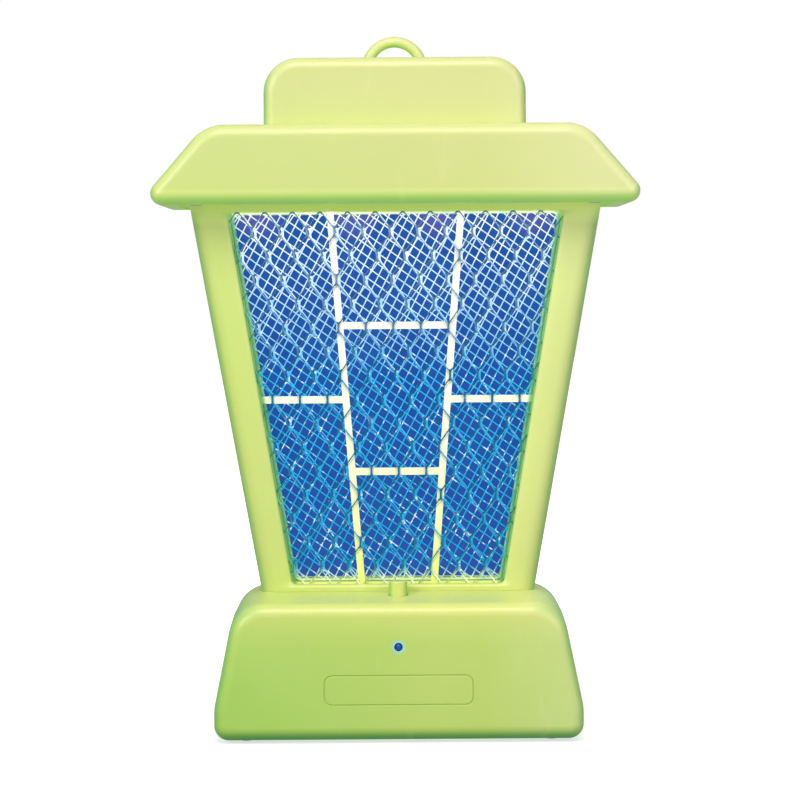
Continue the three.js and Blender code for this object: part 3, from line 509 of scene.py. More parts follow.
def painted_post_shade(look):
    """Painted shade: 1 against the window's slanted sides, and 0 a little further in."""
    low, high = WINDOW_HALF_WIDTHS
    slope = (high - low) / (WINDOW_TOP - WINDOW_BOTTOM)
    side = look.maths("MULTIPLY", look.z, slope)
    across = look.maths("SUBTRACT", look.distance(look.x), side)
    edge = (low - slope * WINDOW_BOTTOM) * MM
    return look.ranged(across, edge - 0.0028, edge - 0.0012, 0.0, 0.9)


def light_bars():
    """Pale bars with painted lamp light and a painted glow at the top, the lime plastic's colour at the
    bottom, and painted shade beside the posts.
    """
    look = Look("light_bars", Subsurface_Weight=0.1, Subsurface_Scale=0.002, Emission_Strength=0.6)
    height = look.ranged(look.z, *WINDOW_SPAN)
    # painted lamp light: whiter towards the top
    colour = look.ramp(height, [
        (0.0, (0.72, 0.80, 0.12)), (0.12, (0.82, 0.88, 0.35)),
        (0.4, (0.90, 0.93, 0.66)), (1.0, (0.97, 0.97, 0.90)),
    ])
    cloudy = look.ranged(look.noise(60), 0.3, 0.7, 0, 0.15)
    clean = look.mix(cloudy, colour, (0.85, 0.88, 0.62))
    # painted shade: greener against the posts
    bars = look.mix(painted_post_shade(look), clean, (0.16, 0.50, 0.12))
    look.colour(bars)
    # painted light: the bars glow at the top
    painted_lamp_glow = look.ranged(height, 0.9, 0.98, 0.3, 1.0)
    look.glow(look.mix(painted_lamp_glow, BLACK, bars))
    look.rough(0.4, 0.5)
    look.bump(look.noise(1500, 2), 0.05, 0.0002)


def blue_acrylic():
    """Edge-lit blue panel: deep blue, with a violet glow under each lamp."""
    look = Look("blue_acrylic", Roughness=0.35, Specular_IOR_Level=0.25, Emission_Strength=1.0)
    height = look.ranged(look.z, *WINDOW_SPAN)
    deep = look.ramp(height, [
        (0.0, (0.020, 0.060, 0.32)), (0.3, (0.010, 0.062, 0.31)),
        (0.7, (0.005, 0.066, 0.32)), (1.0, (0.004, 0.075, 0.36)),
    ])
    below = look.maths("SUBTRACT", WINDOW_TOP * MM, look.z)
    below_squared = look.maths("MULTIPLY", below, below)
    violet = 0.0
    for place in LED_PLACES:
        across = look.maths("SUBTRACT", look.x, place * MM)
        distance_squared = look.maths("ADD", look.maths("MULTIPLY", across, across), below_squared)
        spot = look.ranged(distance_squared, 0.00001, 0.00016, 0.5, 0.0)
        violet = look.maths("MAXIMUM", spot, violet)
    glowing = look.mix(violet, deep, (0.19, 0.10, 0.46))
    patches = look.ranged(look.noise(45, 4), 0.35, 0.7, 0.0, 0.35)
    look.glow(look.mix(patches, glowing, (0.020, 0.12, 0.42)))
    look.colour(look.mottle(35, (0.006, 0.012, 0.05), (0.008, 0.02, 0.08)))
    look.bump(look.noise(120, 2), 0.03, 0.0005)


def lamplit_metal(name, low, middle, top, metallic, glow):
    """Bare metal with painted light: washed white by painted lamp light above, painted blue light lower down
    and a pale painted reflection of the lime plastic at the very bottom, with painted glints and painted
    shade beside the posts. It glows in these painted colours.
    """
    look = Look(name, Metallic=metallic, Emission_Strength=glow)
    height = look.ranged(look.z, *WINDOW_SPAN)
    # painted light and reflections by height
    colour = look.ramp(height, [(0.015, PAINTED_LIME_REFLECTION), (0.05, low), (0.55, middle), (1.0, top)])
    tarnish = look.ranged(look.noise(130, 4), 0.45, 0.75, 0, 0.5)
    # painted glints
    painted_glints = look.ranged(look.noise(420, 2), 0.58, 0.68, 0, 0.7)
    tarnished_and_glinting = look.mix(painted_glints, look.mix(tarnish, colour, middle), top)
    # painted shade beside the posts
    wear_and_shade = look.mix(painted_post_shade(look), tarnished_and_glinting, (0.06, 0.40, 0.24))
    look.colour(wear_and_shade)
    # painted light: the metal glows in these colours
    look.glow(wear_and_shade)
    look.rough(0.25, 0.5)
    look.bump(look.noise(900, 2, (1, 1, 0.2)), 0.08, 0.0002)


def circuit_board():
    """Green solder mask over fine copper traces."""
    look = Look("circuit_board", Specular_IOR_Level=0.5)
    traces = look.node("TexBrick")
    traces.inputs["Scale"].default_value = 180
    traces.inputs["Mortar Size"].default_value = 0.04
    look.link(look.place, traces.inputs["Vector"])
    lines = look.maths("GREATER_THAN", look.noise(160, 0), 0.5)
    mask = look.maths("MULTIPLY", traces.outputs["Fac"], lines)
    green = look.mottle(70, (0.008, 0.10, 0.03), (0.012, 0.15, 0.05))
    look.colour(look.mix(mask, green, (0.05, 0.30, 0.10)))
    look.rough(0.3, 0.45)
    look.bump(mask, 0.3, 0.0002)


def clear_lens(name, body_colour, glow_colour, strength):
    """Tinted clear epoxy that glows from inside."""
    look = Look(name, Transmission_Weight=0.35, IOR=1.5, Emission_Strength=strength)
    look.colour(look.mottle(500, body_colour, glow_colour))
    look.glow(look.mottle(300, glow_colour, body_colour))
    look.rough(0.06, 0.12)
    look.bump(look.noise(700), 0.02, 0.0002)


def cell_jacket():
    """A cell's dark film with a pale band, and bare steel at both ends."""
    look = Look("cell_jacket")
    from_middle = look.distance(look.y, (CELL_FRONT + CELL_LENGTH / 2) * MM)
    steel = look.maths("GREATER_THAN", from_middle, (CELL_LENGTH / 2 - NUB_LENGTH - 0.6) * MM)
    band = look.ranged(look.y, 0.014, 0.0142)
    film = look.mottle(40, (0.025, 0.028, 0.034), (0.045, 0.05, 0.06))
    printed = look.mix(band, film, (0.42, 0.43, 0.40))
    look.colour(look.mix(steel, printed, (0.62, 0.62, 0.60)))
    look.link(steel, look.shader.inputs["Metallic"])
    look.rough(0.25, 0.38)
    look.bump(look.noise(300), 0.03, 0.0003)


def copper_winding():
    """Varnished wire in fine level rings, between two dark core plates."""
    look = Look("winding", Coat_Weight=0.3)
    rings = look.node("TexWave", bands_direction="Z")
    rings.inputs["Scale"].default_value = 800
    look.link(look.place, rings.inputs["Vector"])
    wire = look.ramp(rings.outputs["Fac"], [(0.2, (0.42, 0.26, 0.03)), (0.8, (0.72, 0.55, 0.12))])
    from_middle = look.distance(look.z, TRANSFORMER_MIDDLE * MM)
    core = look.maths("GREATER_THAN", from_middle, WINDING_HALF_HEIGHT * MM)
    look.colour(look.mix(core, wire, (0.03, 0.03, 0.034)))
    look.rough(0.35, 0.5)
    look.bump(rings.outputs["Fac"], 0.4, 0.0002)


lime_plastic("lime_plastic")
light_bars()
blue_acrylic()
lamplit_metal("guard_steel", (0.01, 0.22, 0.40), (0.01, 0.17, 0.36), (0.24, 0.36, 0.56), 0.6, 0.05)
lamplit_metal("grid_metal", (0.0, 0.31, 0.54), (0.03, 0.40, 0.66), (1.0, 1.0, 1.0), 0.3, 0.54)
circuit_board()
clear_lens("uv_lens", (0.30, 0.20, 0.75), (0.62, 0.50, 1.0), 2.5)
clear_lens("indicator_lens", (0.006, 0.02, 0.16), (0.02, 0.10, 0.42), 0.25)
speckled("black_plastic", (0.012, 0.012, 0.014), (0.02, 0.02, 0.022), (0.45, 0.6))
speckled("rubber", (0.02, 0.02, 0.022), (0.04, 0.04, 0.042), (0.75, 0.95), 700, 0.25)
cell_jacket()
speckled("contact_steel", (0.55, 0.56, 0.58), (0.72, 0.73, 0.74), (0.25, 0.4), 500, 0.08, Metallic=1.0)
copper_winding()
speckled("capacitor_film", (0.22, 0.035, 0.015), (0.32, 0.06, 0.025), (0.3, 0.4))
speckled("screw_steel", (0.45, 0.46, 0.48), (0.62, 0.63, 0.64), (0.28, 0.42), 600, 0.1, Metallic=1.0)


# ---- Keeping pieces ----

SHARP_ANGLE = radians(32)


def smoothed(obj, bevel):
    """Softens a piece's edges and shades it smooth between them."""
    if bevel:
        soften = obj.modifiers.new("soften", "BEVEL")
        soften.width = bevel * MM
        soften.segments = 3
        soften.limit_method = "ANGLE"
        soften.angle_limit = SHARP_ANGLE
    weigh = obj.modifiers.new("weigh", "WEIGHTED_NORMAL")
    weigh.keep_sharp = True


def kept(obj, node, slot, body="housing", bevel=0.0):
    """Turns a solid into the visible piece that stands for a CAD node."""
    obj.name = node + "_form"
    obj.data.transform(Matrix.Scale(MM, 4))
    obj.data.validate()
    obj.data.shade_smooth()
    obj.data.set_sharp_from_angle(angle=SHARP_ANGLE)
    obj.data.materials.clear()
    obj.data.materials.append(MATERIALS[slot])
    smoothed(obj, bevel)
    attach(obj, body)
    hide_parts(node)
    return obj


def kept_front_and_rear(obj, node, slot, bevel=0.0):
    """The same piece at the front and, turned half a turn, at the rear."""
    rear = moved(copied(obj), HALF_TURN)
    kept(obj, "front_" + node, slot, bevel=bevel)
    kept(rear, "rear_" + node, slot, bevel=bevel)


def keep_cad_node(node, slot, bevel=0.0):
    """Keeps a CAD node's own shape, with softened edges and its finish."""
    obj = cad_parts[node]
    for material_slot in obj.material_slots:
        material_slot.material = MATERIALS[slot]
    weld = obj.modifiers.new("weld", "WELD")
    weld.merge_threshold = 0.00001
    flatten = obj.modifiers.new("flatten", "DECIMATE")
    flatten.decimate_type = "DISSOLVE"
    flatten.angle_limit = radians(1)
    smoothed(obj, bevel)


# ---- Cap and hanging loop ----

def cap_shell():
    corners = mirrored([
        (CAP_HALF_WIDTH, ROOF_TOP - CAP_FILLET - 1, 0),
        (CAP_HALF_WIDTH, CAP_TOP, CAP_CORNER),
    ])
    body = slab(lambda y: corners, CAP_HALF_DEPTH, CAP_FILLET)
    below = block(-FAR, FAR, -FAR, FAR, 0, ROOF_TOP + GAP * 0.2)
    combined(body, [hollow_of(lambda y: corners, CAP_HALF_DEPTH), below])
    bosses = [column(CAP_BOSS_RADIUS, ROOF_TOP + GAP, CAP_TOP - WALL / 2, x, y) for x, y in CAP_BOSSES]
    combined(body, bosses, "UNION")
    bores = [column(SCREW_BORE, ROOF_TOP, ROOF_TOP + BORE_DEPTH + 1, x, y) for x, y in CAP_BOSSES]
    legs = [
        column(ROD_RADIUS + GAP * 2, CAP_TOP - WALL * 2, CAP_TOP + 1, side * (LOOP_RADIUS - GAP), 0)
        for side in (-1, 1)
    ]
    return combined(body, bores + legs)


def hanging_loop(steps=40, sides=20):
    foot_top = CAP_TOP - WALL - GAP * 2
    path = [(LOOP_RADIUS, foot_top - 1, 0.0)]
    for step in range(steps + 1):
        angle = pi * step / steps
        path.append((LOOP_RADIUS * cos(angle), LOOP_CENTRE + LOOP_RADIUS * sin(angle), angle))
    path.append((-LOOP_RADIUS, foot_top - 1, pi))
    rings = [
        circle((x, 0, z), (cos(angle), 0, sin(angle)), (0, 1, 0), ROD_RADIUS, sides)
        for x, z, angle in path
    ]
    half_width = LOOP_RADIUS + LOOP_FOOT_REACH
    foot = block(-half_width, half_width, -LOOP_FOOT_REACH, LOOP_FOOT_REACH, LOOP_FOOT_BOTTOM, foot_top)
    return combined(foot, [loft(rings)], "UNION")


kept(cap_shell(), "cap_shell", "lime_plastic", bevel=0.3)
kept(hanging_loop(), "hanging_loop", "lime_plastic", bevel=0.3)


# ---- Roof ----

def roof_shell():
    corners = mirrored([
        (EAVES_HALF_WIDTH, ROOF_BOTTOM, EAVES_ROUND), (RIDGE_HALF_WIDTH, ROOF_TOP, RIDGE_ROUND),
    ])
    body = slab(lambda y: corners, ROOF_HALF_DEPTH, ROOF_FILLET)
    outside = copied(body)
    open_x, open_y, open_z = ROOF_OPENING
    opening = block(-open_x, open_x, -open_y, open_y, ROOF_BOTTOM - 1, ROOF_BOTTOM + open_z)
    combined(body, [hollow_of(lambda y: corners, ROOF_HALF_DEPTH), opening])
    boss_bottom = SOFFIT_BOTTOM + SOFFIT_THICKNESS + GAP
    places = four_corners(*ROOF_BOSSES)
    bosses = [
        combined(column(ROOF_BOSS_RADIUS, boss_bottom, ROOF_TOP, x, y), [copied(outside)], "INTERSECT")
        for x, y in places
    ]
    bpy.data.objects.remove(outside)
    combined(body, bosses, "UNION")
    bores = [column(SCREW_BORE, ROOF_BOTTOM, boss_bottom + BORE_DEPTH, x, y) for x, y in places]
    cap_bores = [column(SCREW_BORE, ROOF_TOP - WALL - 1, ROOF_TOP + 1, x, y) for x, y in CAP_BOSSES]
    return combined(body, bores + cap_bores)


roof = kept(roof_shell(), "roof_shell", "lime_plastic", bevel=0.35)
# a deep green painted shade along the eaves' bottom
lime_plastic("lime_plastic_roof", 0.5, ROOF_BOTTOM)
roof.data.materials[0] = MATERIALS["lime_plastic_roof"]


# ---- Lantern frame ----

def frame_half_size(height):
    """The frame's half width and half depth."""
    share = (height - FOOT) / (HEAD - FOOT)
    x = FOOT_HALF_WIDTH + (HEAD_HALF_WIDTH - FOOT_HALF_WIDTH) * share
    y = FOOT_HALF_DEPTH + (HEAD_HALF_DEPTH - FOOT_HALF_DEPTH) * share
    return x, y


def plan_ring(x_min, x_max, y_min, y_max, height, radius):
    corners = [(x_min, y_min, radius), (x_max, y_min, radius), (x_max, y_max, radius), (x_min, y_max, radius)]
    return [(point.x, point.y, height) for point in outline(corners)]


def frame_ring(height):
    x, y = frame_half_size(height)
    return plan_ring(-x, x, -y, y, height, FRAME_CORNER)


def post_pocket(side):
    rings = []
    for height in (FOOT + POCKET_END_WALL, HEAD - POCKET_END_WALL):
        inner = window_half_width(height) + CAVITY_MARGIN + POCKET_SIDE_WALL
        outer, depth = (size - FRAME_WALL for size in frame_half_size(height))
        x_min, x_max = sorted((side * inner, side * outer))
        rings.append(plan_ring(x_min, x_max, -depth, depth, height, 0))
    return loft(rings)


def window_cutter(steps=8):
    """Cuts the window, and rounds the posts over towards it."""
    rings = [(FRAME_WALL + 1, 0.0)]
    for k in range(steps + 1):
        angle = pi / 2 * k / steps
        rings.append((POST_ROUND_DEPTH * (1 - sin(angle)), POST_ROUND_WIDTH * (1 - cos(angle))))
    rings.append((-HEAD_HALF_DEPTH, POST_ROUND_WIDTH))
    lofted = []
    for depth, margin in rings:
        below = margin * SILL_SHARE
        corners = trapezoid(WINDOW_BOTTOM, WINDOW_TOP, margin, WINDOW_CORNER + below)
        corners = [(x, z - below if z < WINDOW_TOP else z, radius) for x, z, radius in corners]
        lofted.append([(point.x, depth, point.y) for point in outline(corners)])
    return loft(lofted)


def frame_half():
    """The front half. Its foot reaches into the gap over the base, so no light shows there."""
    low_foot = [(x, y, FOOT - GAP * 0.8) for x, y, z in frame_ring(FOOT)]
    body = combined(loft([low_foot, frame_ring(HEAD)]), [post_pocket(-1), post_pocket(1)])
    places = four_corners(*FOOT_SCREWS)[:2]
    bosses = [column(FOOT_BOSS_RADIUS, FOOT + 1, FOOT + FOOT_BOSS_HEIGHT, x, y) for x, y in places]
    combined(body, bosses, "UNION")
    tools = [column(SCREW_BORE, FOOT - 1, FOOT + FOOT_BORE_DEPTH, x, y) for x, y in places]
    cavity = outline(trapezoid(CAVITY_BOTTOM, CAVITY_TOP, CAVITY_MARGIN, WINDOW_CORNER))
    groove = outline(trapezoid(CAVITY_BOTTOM, CAVITY_TOP, CAVITY_MARGIN + PANEL_GRIP + GAP, 0))
    slot_width, slot_depth = LIGHT_SLOT_HALF_WIDTH, LIGHT_SLOT_HALF_DEPTH
    tools += [
        moved(window_cutter(), LEAN_FORWARD),
        moved(plate(cavity, FRAME_WALL, FAR), LEAN_FORWARD),
        plate(groove, -PANEL_HALF_THICKNESS - GAP, FAR),
        block(-CHUTE_HALF_WIDTH, CHUTE_HALF_WIDTH, -CHUTE_FAR, -CHUTE_NEAR, FOOT - 1, WINDOW_BOTTOM + 1),
        block(-slot_width, slot_width, -slot_depth, FAR, CAVITY_TOP - 1, HEAD + 1),
        block(-FAR, FAR, -GAP / 2, FAR, 0, HEAD + FAR),
    ]
    return combined(body, tools)


kept_front_and_rear(frame_half(), "frame", "lime_plastic", bevel=0.6)


# ---- Window layers ----

def tile(centre_x, centre_z):
    """One six-sided cell of the lattice: points along its border, and the matching points of its hole."""
    tip = (CELL_HEIGHT - BOND) / 2
    border = [
        (CELL_WIDTH / 2, -BOND / 2), (CELL_WIDTH / 2, BOND / 2), (0, tip),
        (-CELL_WIDTH / 2, BOND / 2), (-CELL_WIDTH / 2, -BOND / 2), (0, -tip),
    ]
    slope = (tip - BOND / 2) / (CELL_WIDTH / 2)
    drop = STRAND / 2 * hypot(1, slope)
    side = CELL_WIDTH / 2 - STRAND
    shoulder = BOND / 2 + slope * STRAND - drop
    hole = [
        (side, -shoulder, SIDE_ROUND), (side, shoulder, SIDE_ROUND), (0, tip - drop, TIP_ROUND),
        (-side, shoulder, SIDE_ROUND), (-side, -shoulder, SIDE_ROUND), (0, drop - tip, TIP_ROUND),
    ]
    near_corner = BOND * 0.4
    border_points = []
    for i, corner in enumerate(border):
        here = Vector(corner)
        before = (Vector(border[i - 1]) - here).normalized()
        after = (Vector(border[(i + 1) % 6]) - here).normalized()
        border_points += [here + before * near_corner, here, here + after * near_corner]
    centre = Vector((centre_x, centre_z))
    hole_points = outline(hole, steps=2)
    return [point + centre for point in border_points], [point + centre for point in hole_points]


def lattice(shift_x, shift_z):
    """A closed sheet of expanded metal, wider and taller than the window, with its middle at depth 0."""
    vertices, faces, known = [], [], {}

    def corner(point, depth):
        key = (round(point.x, 3), round(point.y, 3))
        if key not in known:
            known[key] = len(vertices)
            x = point.x + (CAVITY_TOP - point.y) * tan(LATTICE_LEAN)
            vertices.append((x, depth - SHEET_THICKNESS / 2, point.y))
            vertices.append((x, depth + SHEET_THICKNESS / 2, point.y))
        return known[key]

    reach = window_half_width(CAVITY_TOP) + CELL_WIDTH
    rows = range(-1, ceil((CAVITY_TOP - CAVITY_BOTTOM) / CELL_HEIGHT * 2) + 2)
    columns = range(-ceil(reach / CELL_WIDTH) - 1, ceil(reach / CELL_WIDTH) + 1)
    walls = []
    for row in rows:
        for number in columns:
            centre_x = (number + (row % 2) / 2) * CELL_WIDTH + shift_x
            centre_z = CAVITY_TOP - row * CELL_HEIGHT / 2 + shift_z
            border, hole = tile(centre_x, centre_z)
            outer = [corner(point, 0) for point in border]
            inner = [corner(p, STRAND_TWIST * (centre_x - p.x) / (CELL_WIDTH / 2)) for p in hole]
            count = len(outer)
            for i in range(count):
                j = (i + 1) % count
                faces.append((outer[i], outer[j], inner[j], inner[i]))
                faces.append((outer[i] + 1, inner[i] + 1, inner[j] + 1, outer[j] + 1))
                faces.append((inner[i], inner[j], inner[j] + 1, inner[i] + 1))
                walls.append((outer[i], outer[j]))
    open_edges = set(walls)
    for start, end in walls:
        if (end, start) not in open_edges:
            faces.append((start, start + 1, end + 1, end))
    return solid(vertices, faces)


def frame_band(corners, width, half_depth, steps=4):
    """A flat band that runs round just inside an outline, with its middle at depth 0."""
    outer = plate(outline(corners, steps), -half_depth, half_depth)
    return combined(outer, [plate(outline(inset(corners, width), steps), -half_depth - 1, half_depth + 1)])


def expanded_sheet(depth, corners, rim, shift_x, shift_z):
    """Expanded metal inside a plain rim, standing in the leaning front face."""
    overlap = 0.2
    field = outline(inset(corners, rim - overlap), 4)
    sheet = combined(lattice(shift_x, shift_z), [plate(field, -3, 3)], "INTERSECT")
    combined(sheet, [frame_band(corners, rim, SHEET_THICKNESS / 2 + overlap)], "UNION")
    return moved(sheet, LEAN_FORWARD @ Matrix.Translation((0, depth, 0)))


def clipped(start, direction, corners):
    """Where a line that is parallel to no edge enters and leaves a convex outline, or None."""
    low, high = -inf, inf
    for i, corner in enumerate(corners):
        following = corners[(i + 1) % len(corners)]
        normal = inward(edge_direction(corner, following))
        reach = (start - Vector(corner[:2])).dot(normal)
        speed = direction.dot(normal)
        if speed > 0:
            low = max(low, -reach / speed)
        else:
            high = min(high, -reach / speed)
    return (low, high) if high - low > 1 else None


def fine_wires(corners):
    """Two sets of thin wires woven through each other inside an outline, with their middle at depth 0."""
    vertices, faces = [], []
    first, second = (Vector((cos(a), sin(a))) for a in FINE_DIRECTIONS)
    crossing = FINE_PITCH / abs(first.x * second.y - first.y * second.x)
    middle = Vector((0, (CAVITY_TOP + CAVITY_BOTTOM) / 2))
    reach = round((CAVITY_TOP - CAVITY_BOTTOM) / crossing)
    section = ((1, 0), (0.5, -1), (-0.5, -1), (-1, 0), (-0.5, 1), (0.5, 1))
    sides = len(section)
    for along, across, sign in ((first, second, 1), (second, first, -1)):
        side = inward(along) * WIRE[0]
        for i in range(-reach, reach + 1):
            start = middle + across * (i * crossing)
            span = clipped(start, along, corners)
            if span is None:
                continue
            knots = range(ceil(span[0] / crossing), ceil(span[1] / crossing))
            stops = [(span[0], 0)]
            stops += [(k * crossing, sign * WEAVE * (1 if (i + k) % 2 else -1)) for k in knots]
            stops.append((span[1], 0))
            base = len(vertices)
            for distance, depth in stops:
                place = start + along * distance
                for share, lift in section:
                    point = place + side * share
                    vertices.append((point.x, depth + WIRE[1] * lift, point.y))
            last = base + (len(stops) - 1) * sides
            faces.append(tuple(range(base + sides - 1, base - 1, -1)))
            faces.append(tuple(range(last, last + sides)))
            for ring in range(base, last, sides):
                for k in range(sides):
                    j = (k + 1) % sides
                    faces.append((ring + k, ring + j, ring + sides + j, ring + sides + k))
    return vertices, faces


def fine_grid(depth, corners):
    vertices, faces = fine_wires(corners)
    offset = len(vertices)
    edge = frame_band(corners, FINE_RIM, 0.2)
    vertices += [tuple(v.co) for v in edge.data.vertices]
    faces += [tuple(i + offset for i in polygon.vertices) for polygon in edge.data.polygons]
    bpy.data.objects.remove(edge)
    return moved(solid(vertices, faces), LEAN_FORWARD @ Matrix.Translation((0, depth, 0)))


guard = expanded_sheet(GUARD_DEPTH, LAYER_OUTLINE, GUARD_RIM, GUARD_SHIFT, 0)
kept_front_and_rear(guard, "guard_mesh", "guard_steel")
coarse = expanded_sheet(COARSE_DEPTH, GRID_OUTLINE, COARSE_RIM, *COARSE_SHIFT)
kept_front_and_rear(coarse, "coarse_grid", "grid_metal")
kept_front_and_rear(fine_grid(FINE_DEPTH, GRID_OUTLINE), "fine_grid", "grid_metal")
for end in ("front", "rear"):
    keep_cad_node(end + "_window_bars", "light_bars", 0.5)
    keep_cad_node(end + "_grid_carrier", "lime_plastic", 0.3)
    keep_cad_node(end + "_contact_strip", "contact_steel", 0.2)
keep_cad_node("light_panel", "blue_acrylic", 0.3)


# ---- Base ----

def base_corners(y):
    slope = (abs(y) - FOOT_HALF_DEPTH) / (BASE_HALF_DEPTH - BASE_FILLET - FOOT_HALF_DEPTH)
    rise = 1 - min(max(slope, 0), 1)
    top = BASE_SHOULDER + (BASE_CROWN - BASE_SHOULDER) * rise
    draft = (BASE_HALF_WIDTH - BASE_SHOULDER_HALF_WIDTH) / (BASE_SHOULDER - BASE_KNEE)
    return mirrored([
        (BASE_HALF_WIDTH, BASE_BOTTOM, BASE_BOTTOM_ROUND),
        (BASE_HALF_WIDTH, BASE_KNEE, BASE_KNEE_ROUND),
        (BASE_SHOULDER_HALF_WIDTH - (top - BASE_SHOULDER) * draft, top, BASE_SHOULDER_ROUND),
    ])


def badge_groove():
    """Cuts a thin outline round the blank badge on the base's front."""
    corners = mirrored([
        (BADGE_HALF_WIDTH, BADGE_BOTTOM, BADGE_CORNER), (BADGE_HALF_WIDTH, BADGE_TOP, BADGE_CORNER),
    ])
    band = frame_band(corners, BADGE_LINE, BADGE_DEPTH, 5)
    return moved(band, Matrix.Translation((0, -BASE_HALF_DEPTH, 0)))


def at_lamp(turn):
    """Lays something upright down at the lamp's place, with its top to the front at 1 or the rear at -1."""
    lying = Matrix.Rotation(turn * pi / 2, 4, "X")
    return Matrix.Translation((0, -BASE_HALF_DEPTH, LAMP_HEIGHT)) @ lying


def base_shell():
    crown = (FOOT_HALF_DEPTH, -FOOT_HALF_DEPTH)
    body = slab(base_corners, BASE_HALF_DEPTH, BASE_FILLET, crown)
    open_x, open_y, open_z = BASE_OPENING
    opening = block(-open_x, open_x, -open_y, open_y, 0, open_z)
    combined(body, [hollow_of(base_corners, BASE_HALF_DEPTH, crown), opening])

    boss_bottom = PLATE_BOTTOM + PLATE_THICKNESS + GAP
    boss_top = BASE_SHOULDER - BASE_FILLET
    plate_bosses = four_corners(*PLATE_BOSSES)
    bosses = [column(PLATE_BOSS_RADIUS, boss_bottom, boss_top, x, y) for x, y in plate_bosses]
    shelf_top = TRAY_BOTTOM - GAP
    for side in (-1, 1):
        x_min, x_max = sorted((side * (TRAY_HALF_WIDTH - 5), side * (BASE_SHOULDER_HALF_WIDTH + WALL / 2)))
        shelf = block(x_min, x_max, TRAY_FRONT, BASE_HALF_DEPTH - WALL / 2, shelf_top - WALL * 0.6, shelf_top)
        bosses.append(shelf)
    combined(body, bosses, "UNION")

    hole_bottom, hole_top = BASE_CROWN - WALL * 1.5, BASE_CROWN + 1
    tools = [column(SCREW_BORE, 0, boss_bottom + BORE_DEPTH, x, y) for x, y in plate_bosses]
    tools += [column(SCREW_BORE, hole_bottom, hole_top, x, y) for x, y in four_corners(*FOOT_SCREWS)]
    for side in (-1, 1):
        y_min, y_max = sorted((side * CHUTE_NEAR, side * CHUTE_FAR))
        tools.append(block(-CHUTE_HALF_WIDTH, CHUTE_HALF_WIDTH, y_min, y_max, hole_bottom, hole_top))
    slot_half_width = TRAY_HALF_WIDTH + GAP * 2
    tools.append(block(
        -slot_half_width, slot_half_width, open_y, BASE_HALF_DEPTH + 1, TRAY_BOTTOM - GAP, TRAY_TOP + GAP,
    ))
    tools.append(column(BUTTON_RADIUS + GAP, hole_bottom - WALL, hole_top, 0, BUTTON_Y, 40))
    lamp_hole = column(LAMP_RADIUS + GAP, -WALL, WALL, 0, 0)
    tools += [moved(lamp_hole, at_lamp(1)), badge_groove()]
    return combined(body, tools)


shell = kept(base_shell(), "base_shell", "lime_plastic", bevel=0.3)
# a deep green painted shade along the base's bottom edge
lime_plastic("lime_plastic_base", 0.9, BASE_BOTTOM)
shell.data.materials[0] = MATERIALS["lime_plastic_base"]


# ---- Button, spring and indicator ----

def quarter_round(radius, height, fillet, steps=6):
    """Profile points over a rounded top edge."""
    points = []
    for k in range(steps + 1):
        angle = pi / 2 * k / steps
        points.append((radius - fillet * (1 - cos(angle)), height - fillet * (1 - sin(angle))))
    return points


def power_button():
    profile = [
        (1.2, SWITCH_TOP - 1.2), (1.2, FLANGE_BOTTOM), (BUTTON_FLANGE, FLANGE_BOTTOM),
        (BUTTON_FLANGE, FLANGE_TOP), (BUTTON_RADIUS, FLANGE_TOP),
    ]
    return turned(profile + quarter_round(BUTTON_RADIUS, BUTTON_TOP, 0.8), 0, BUTTON_Y, 48)


def button_spring(turns=3, steps_per_turn=24, sides=8):
    wire, coil = 0.25, 2.4
    bottom = SWITCH_TOP + GAP + wire
    top = FLANGE_BOTTOM - GAP - wire
    rings = []
    for step in range(turns * steps_per_turn + 1):
        angle = 2 * pi * step / steps_per_turn
        x, y = cos(angle), sin(angle)
        height = bottom + (top - bottom) * step / (turns * steps_per_turn)
        rings.append(circle((coil * x, BUTTON_Y + coil * y, height), (x, y, 0), (0, 0, -1), wire, sides))
    return loft(rings)


def indicator_led():
    """A domed lens through the front wall, with a flange behind it."""
    proud, dome_length, flange = 0.7, 1.8, LAMP_RADIUS + 0.4
    rear = WALL + 1.5
    profile = []
    for degrees in range(12, 91, 13):
        angle = radians(degrees)
        profile.append((LAMP_RADIUS * sin(angle), -proud + dome_length * (1 - cos(angle))))
    profile += [(LAMP_RADIUS, rear - 1), (flange, rear - 1), (flange, rear)]
    return moved(turned(profile, 0, 0, 32), at_lamp(-1))


kept(power_button(), "power_button", "lime_plastic", body="button", bevel=0.1)
spring = kept(button_spring(), "button_spring", "contact_steel")
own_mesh(spring)
kept(indicator_led(), "indicator_led", "indicator_lens")


# ---- Screws and cells ----

def screw(x, y, head_face, length):
    """A pan-head screw that points up, with a cross recess under its head and a thread on its shank."""
    neck = head_face + SCREW_HEAD_HEIGHT
    tip = head_face + length
    core = SCREW_SHANK - THREAD_DEPTH
    profile = [
        (SCREW_HEAD - 0.6, head_face), (SCREW_HEAD - 0.2, head_face + 0.15),
        (SCREW_HEAD, head_face + 0.5), (SCREW_HEAD, neck), (SCREW_SHANK - 0.2, neck),
    ]
    height = neck + 1
    while height < tip - 2:
        profile += [(core, height), (SCREW_SHANK, height + 0.35), (SCREW_SHANK, height + 0.45)]
        height += THREAD_PITCH
    profile += [(core, tip - 1.5), (0.2, tip)]
    bottom, top = head_face - 1, head_face + RECESS_DEPTH
    recess = [block(x - a, x + a, y - b, y + b, bottom, top) for a, b in RECESS_ARMS]
    return combined(turned(profile, x, y, 24), recess)


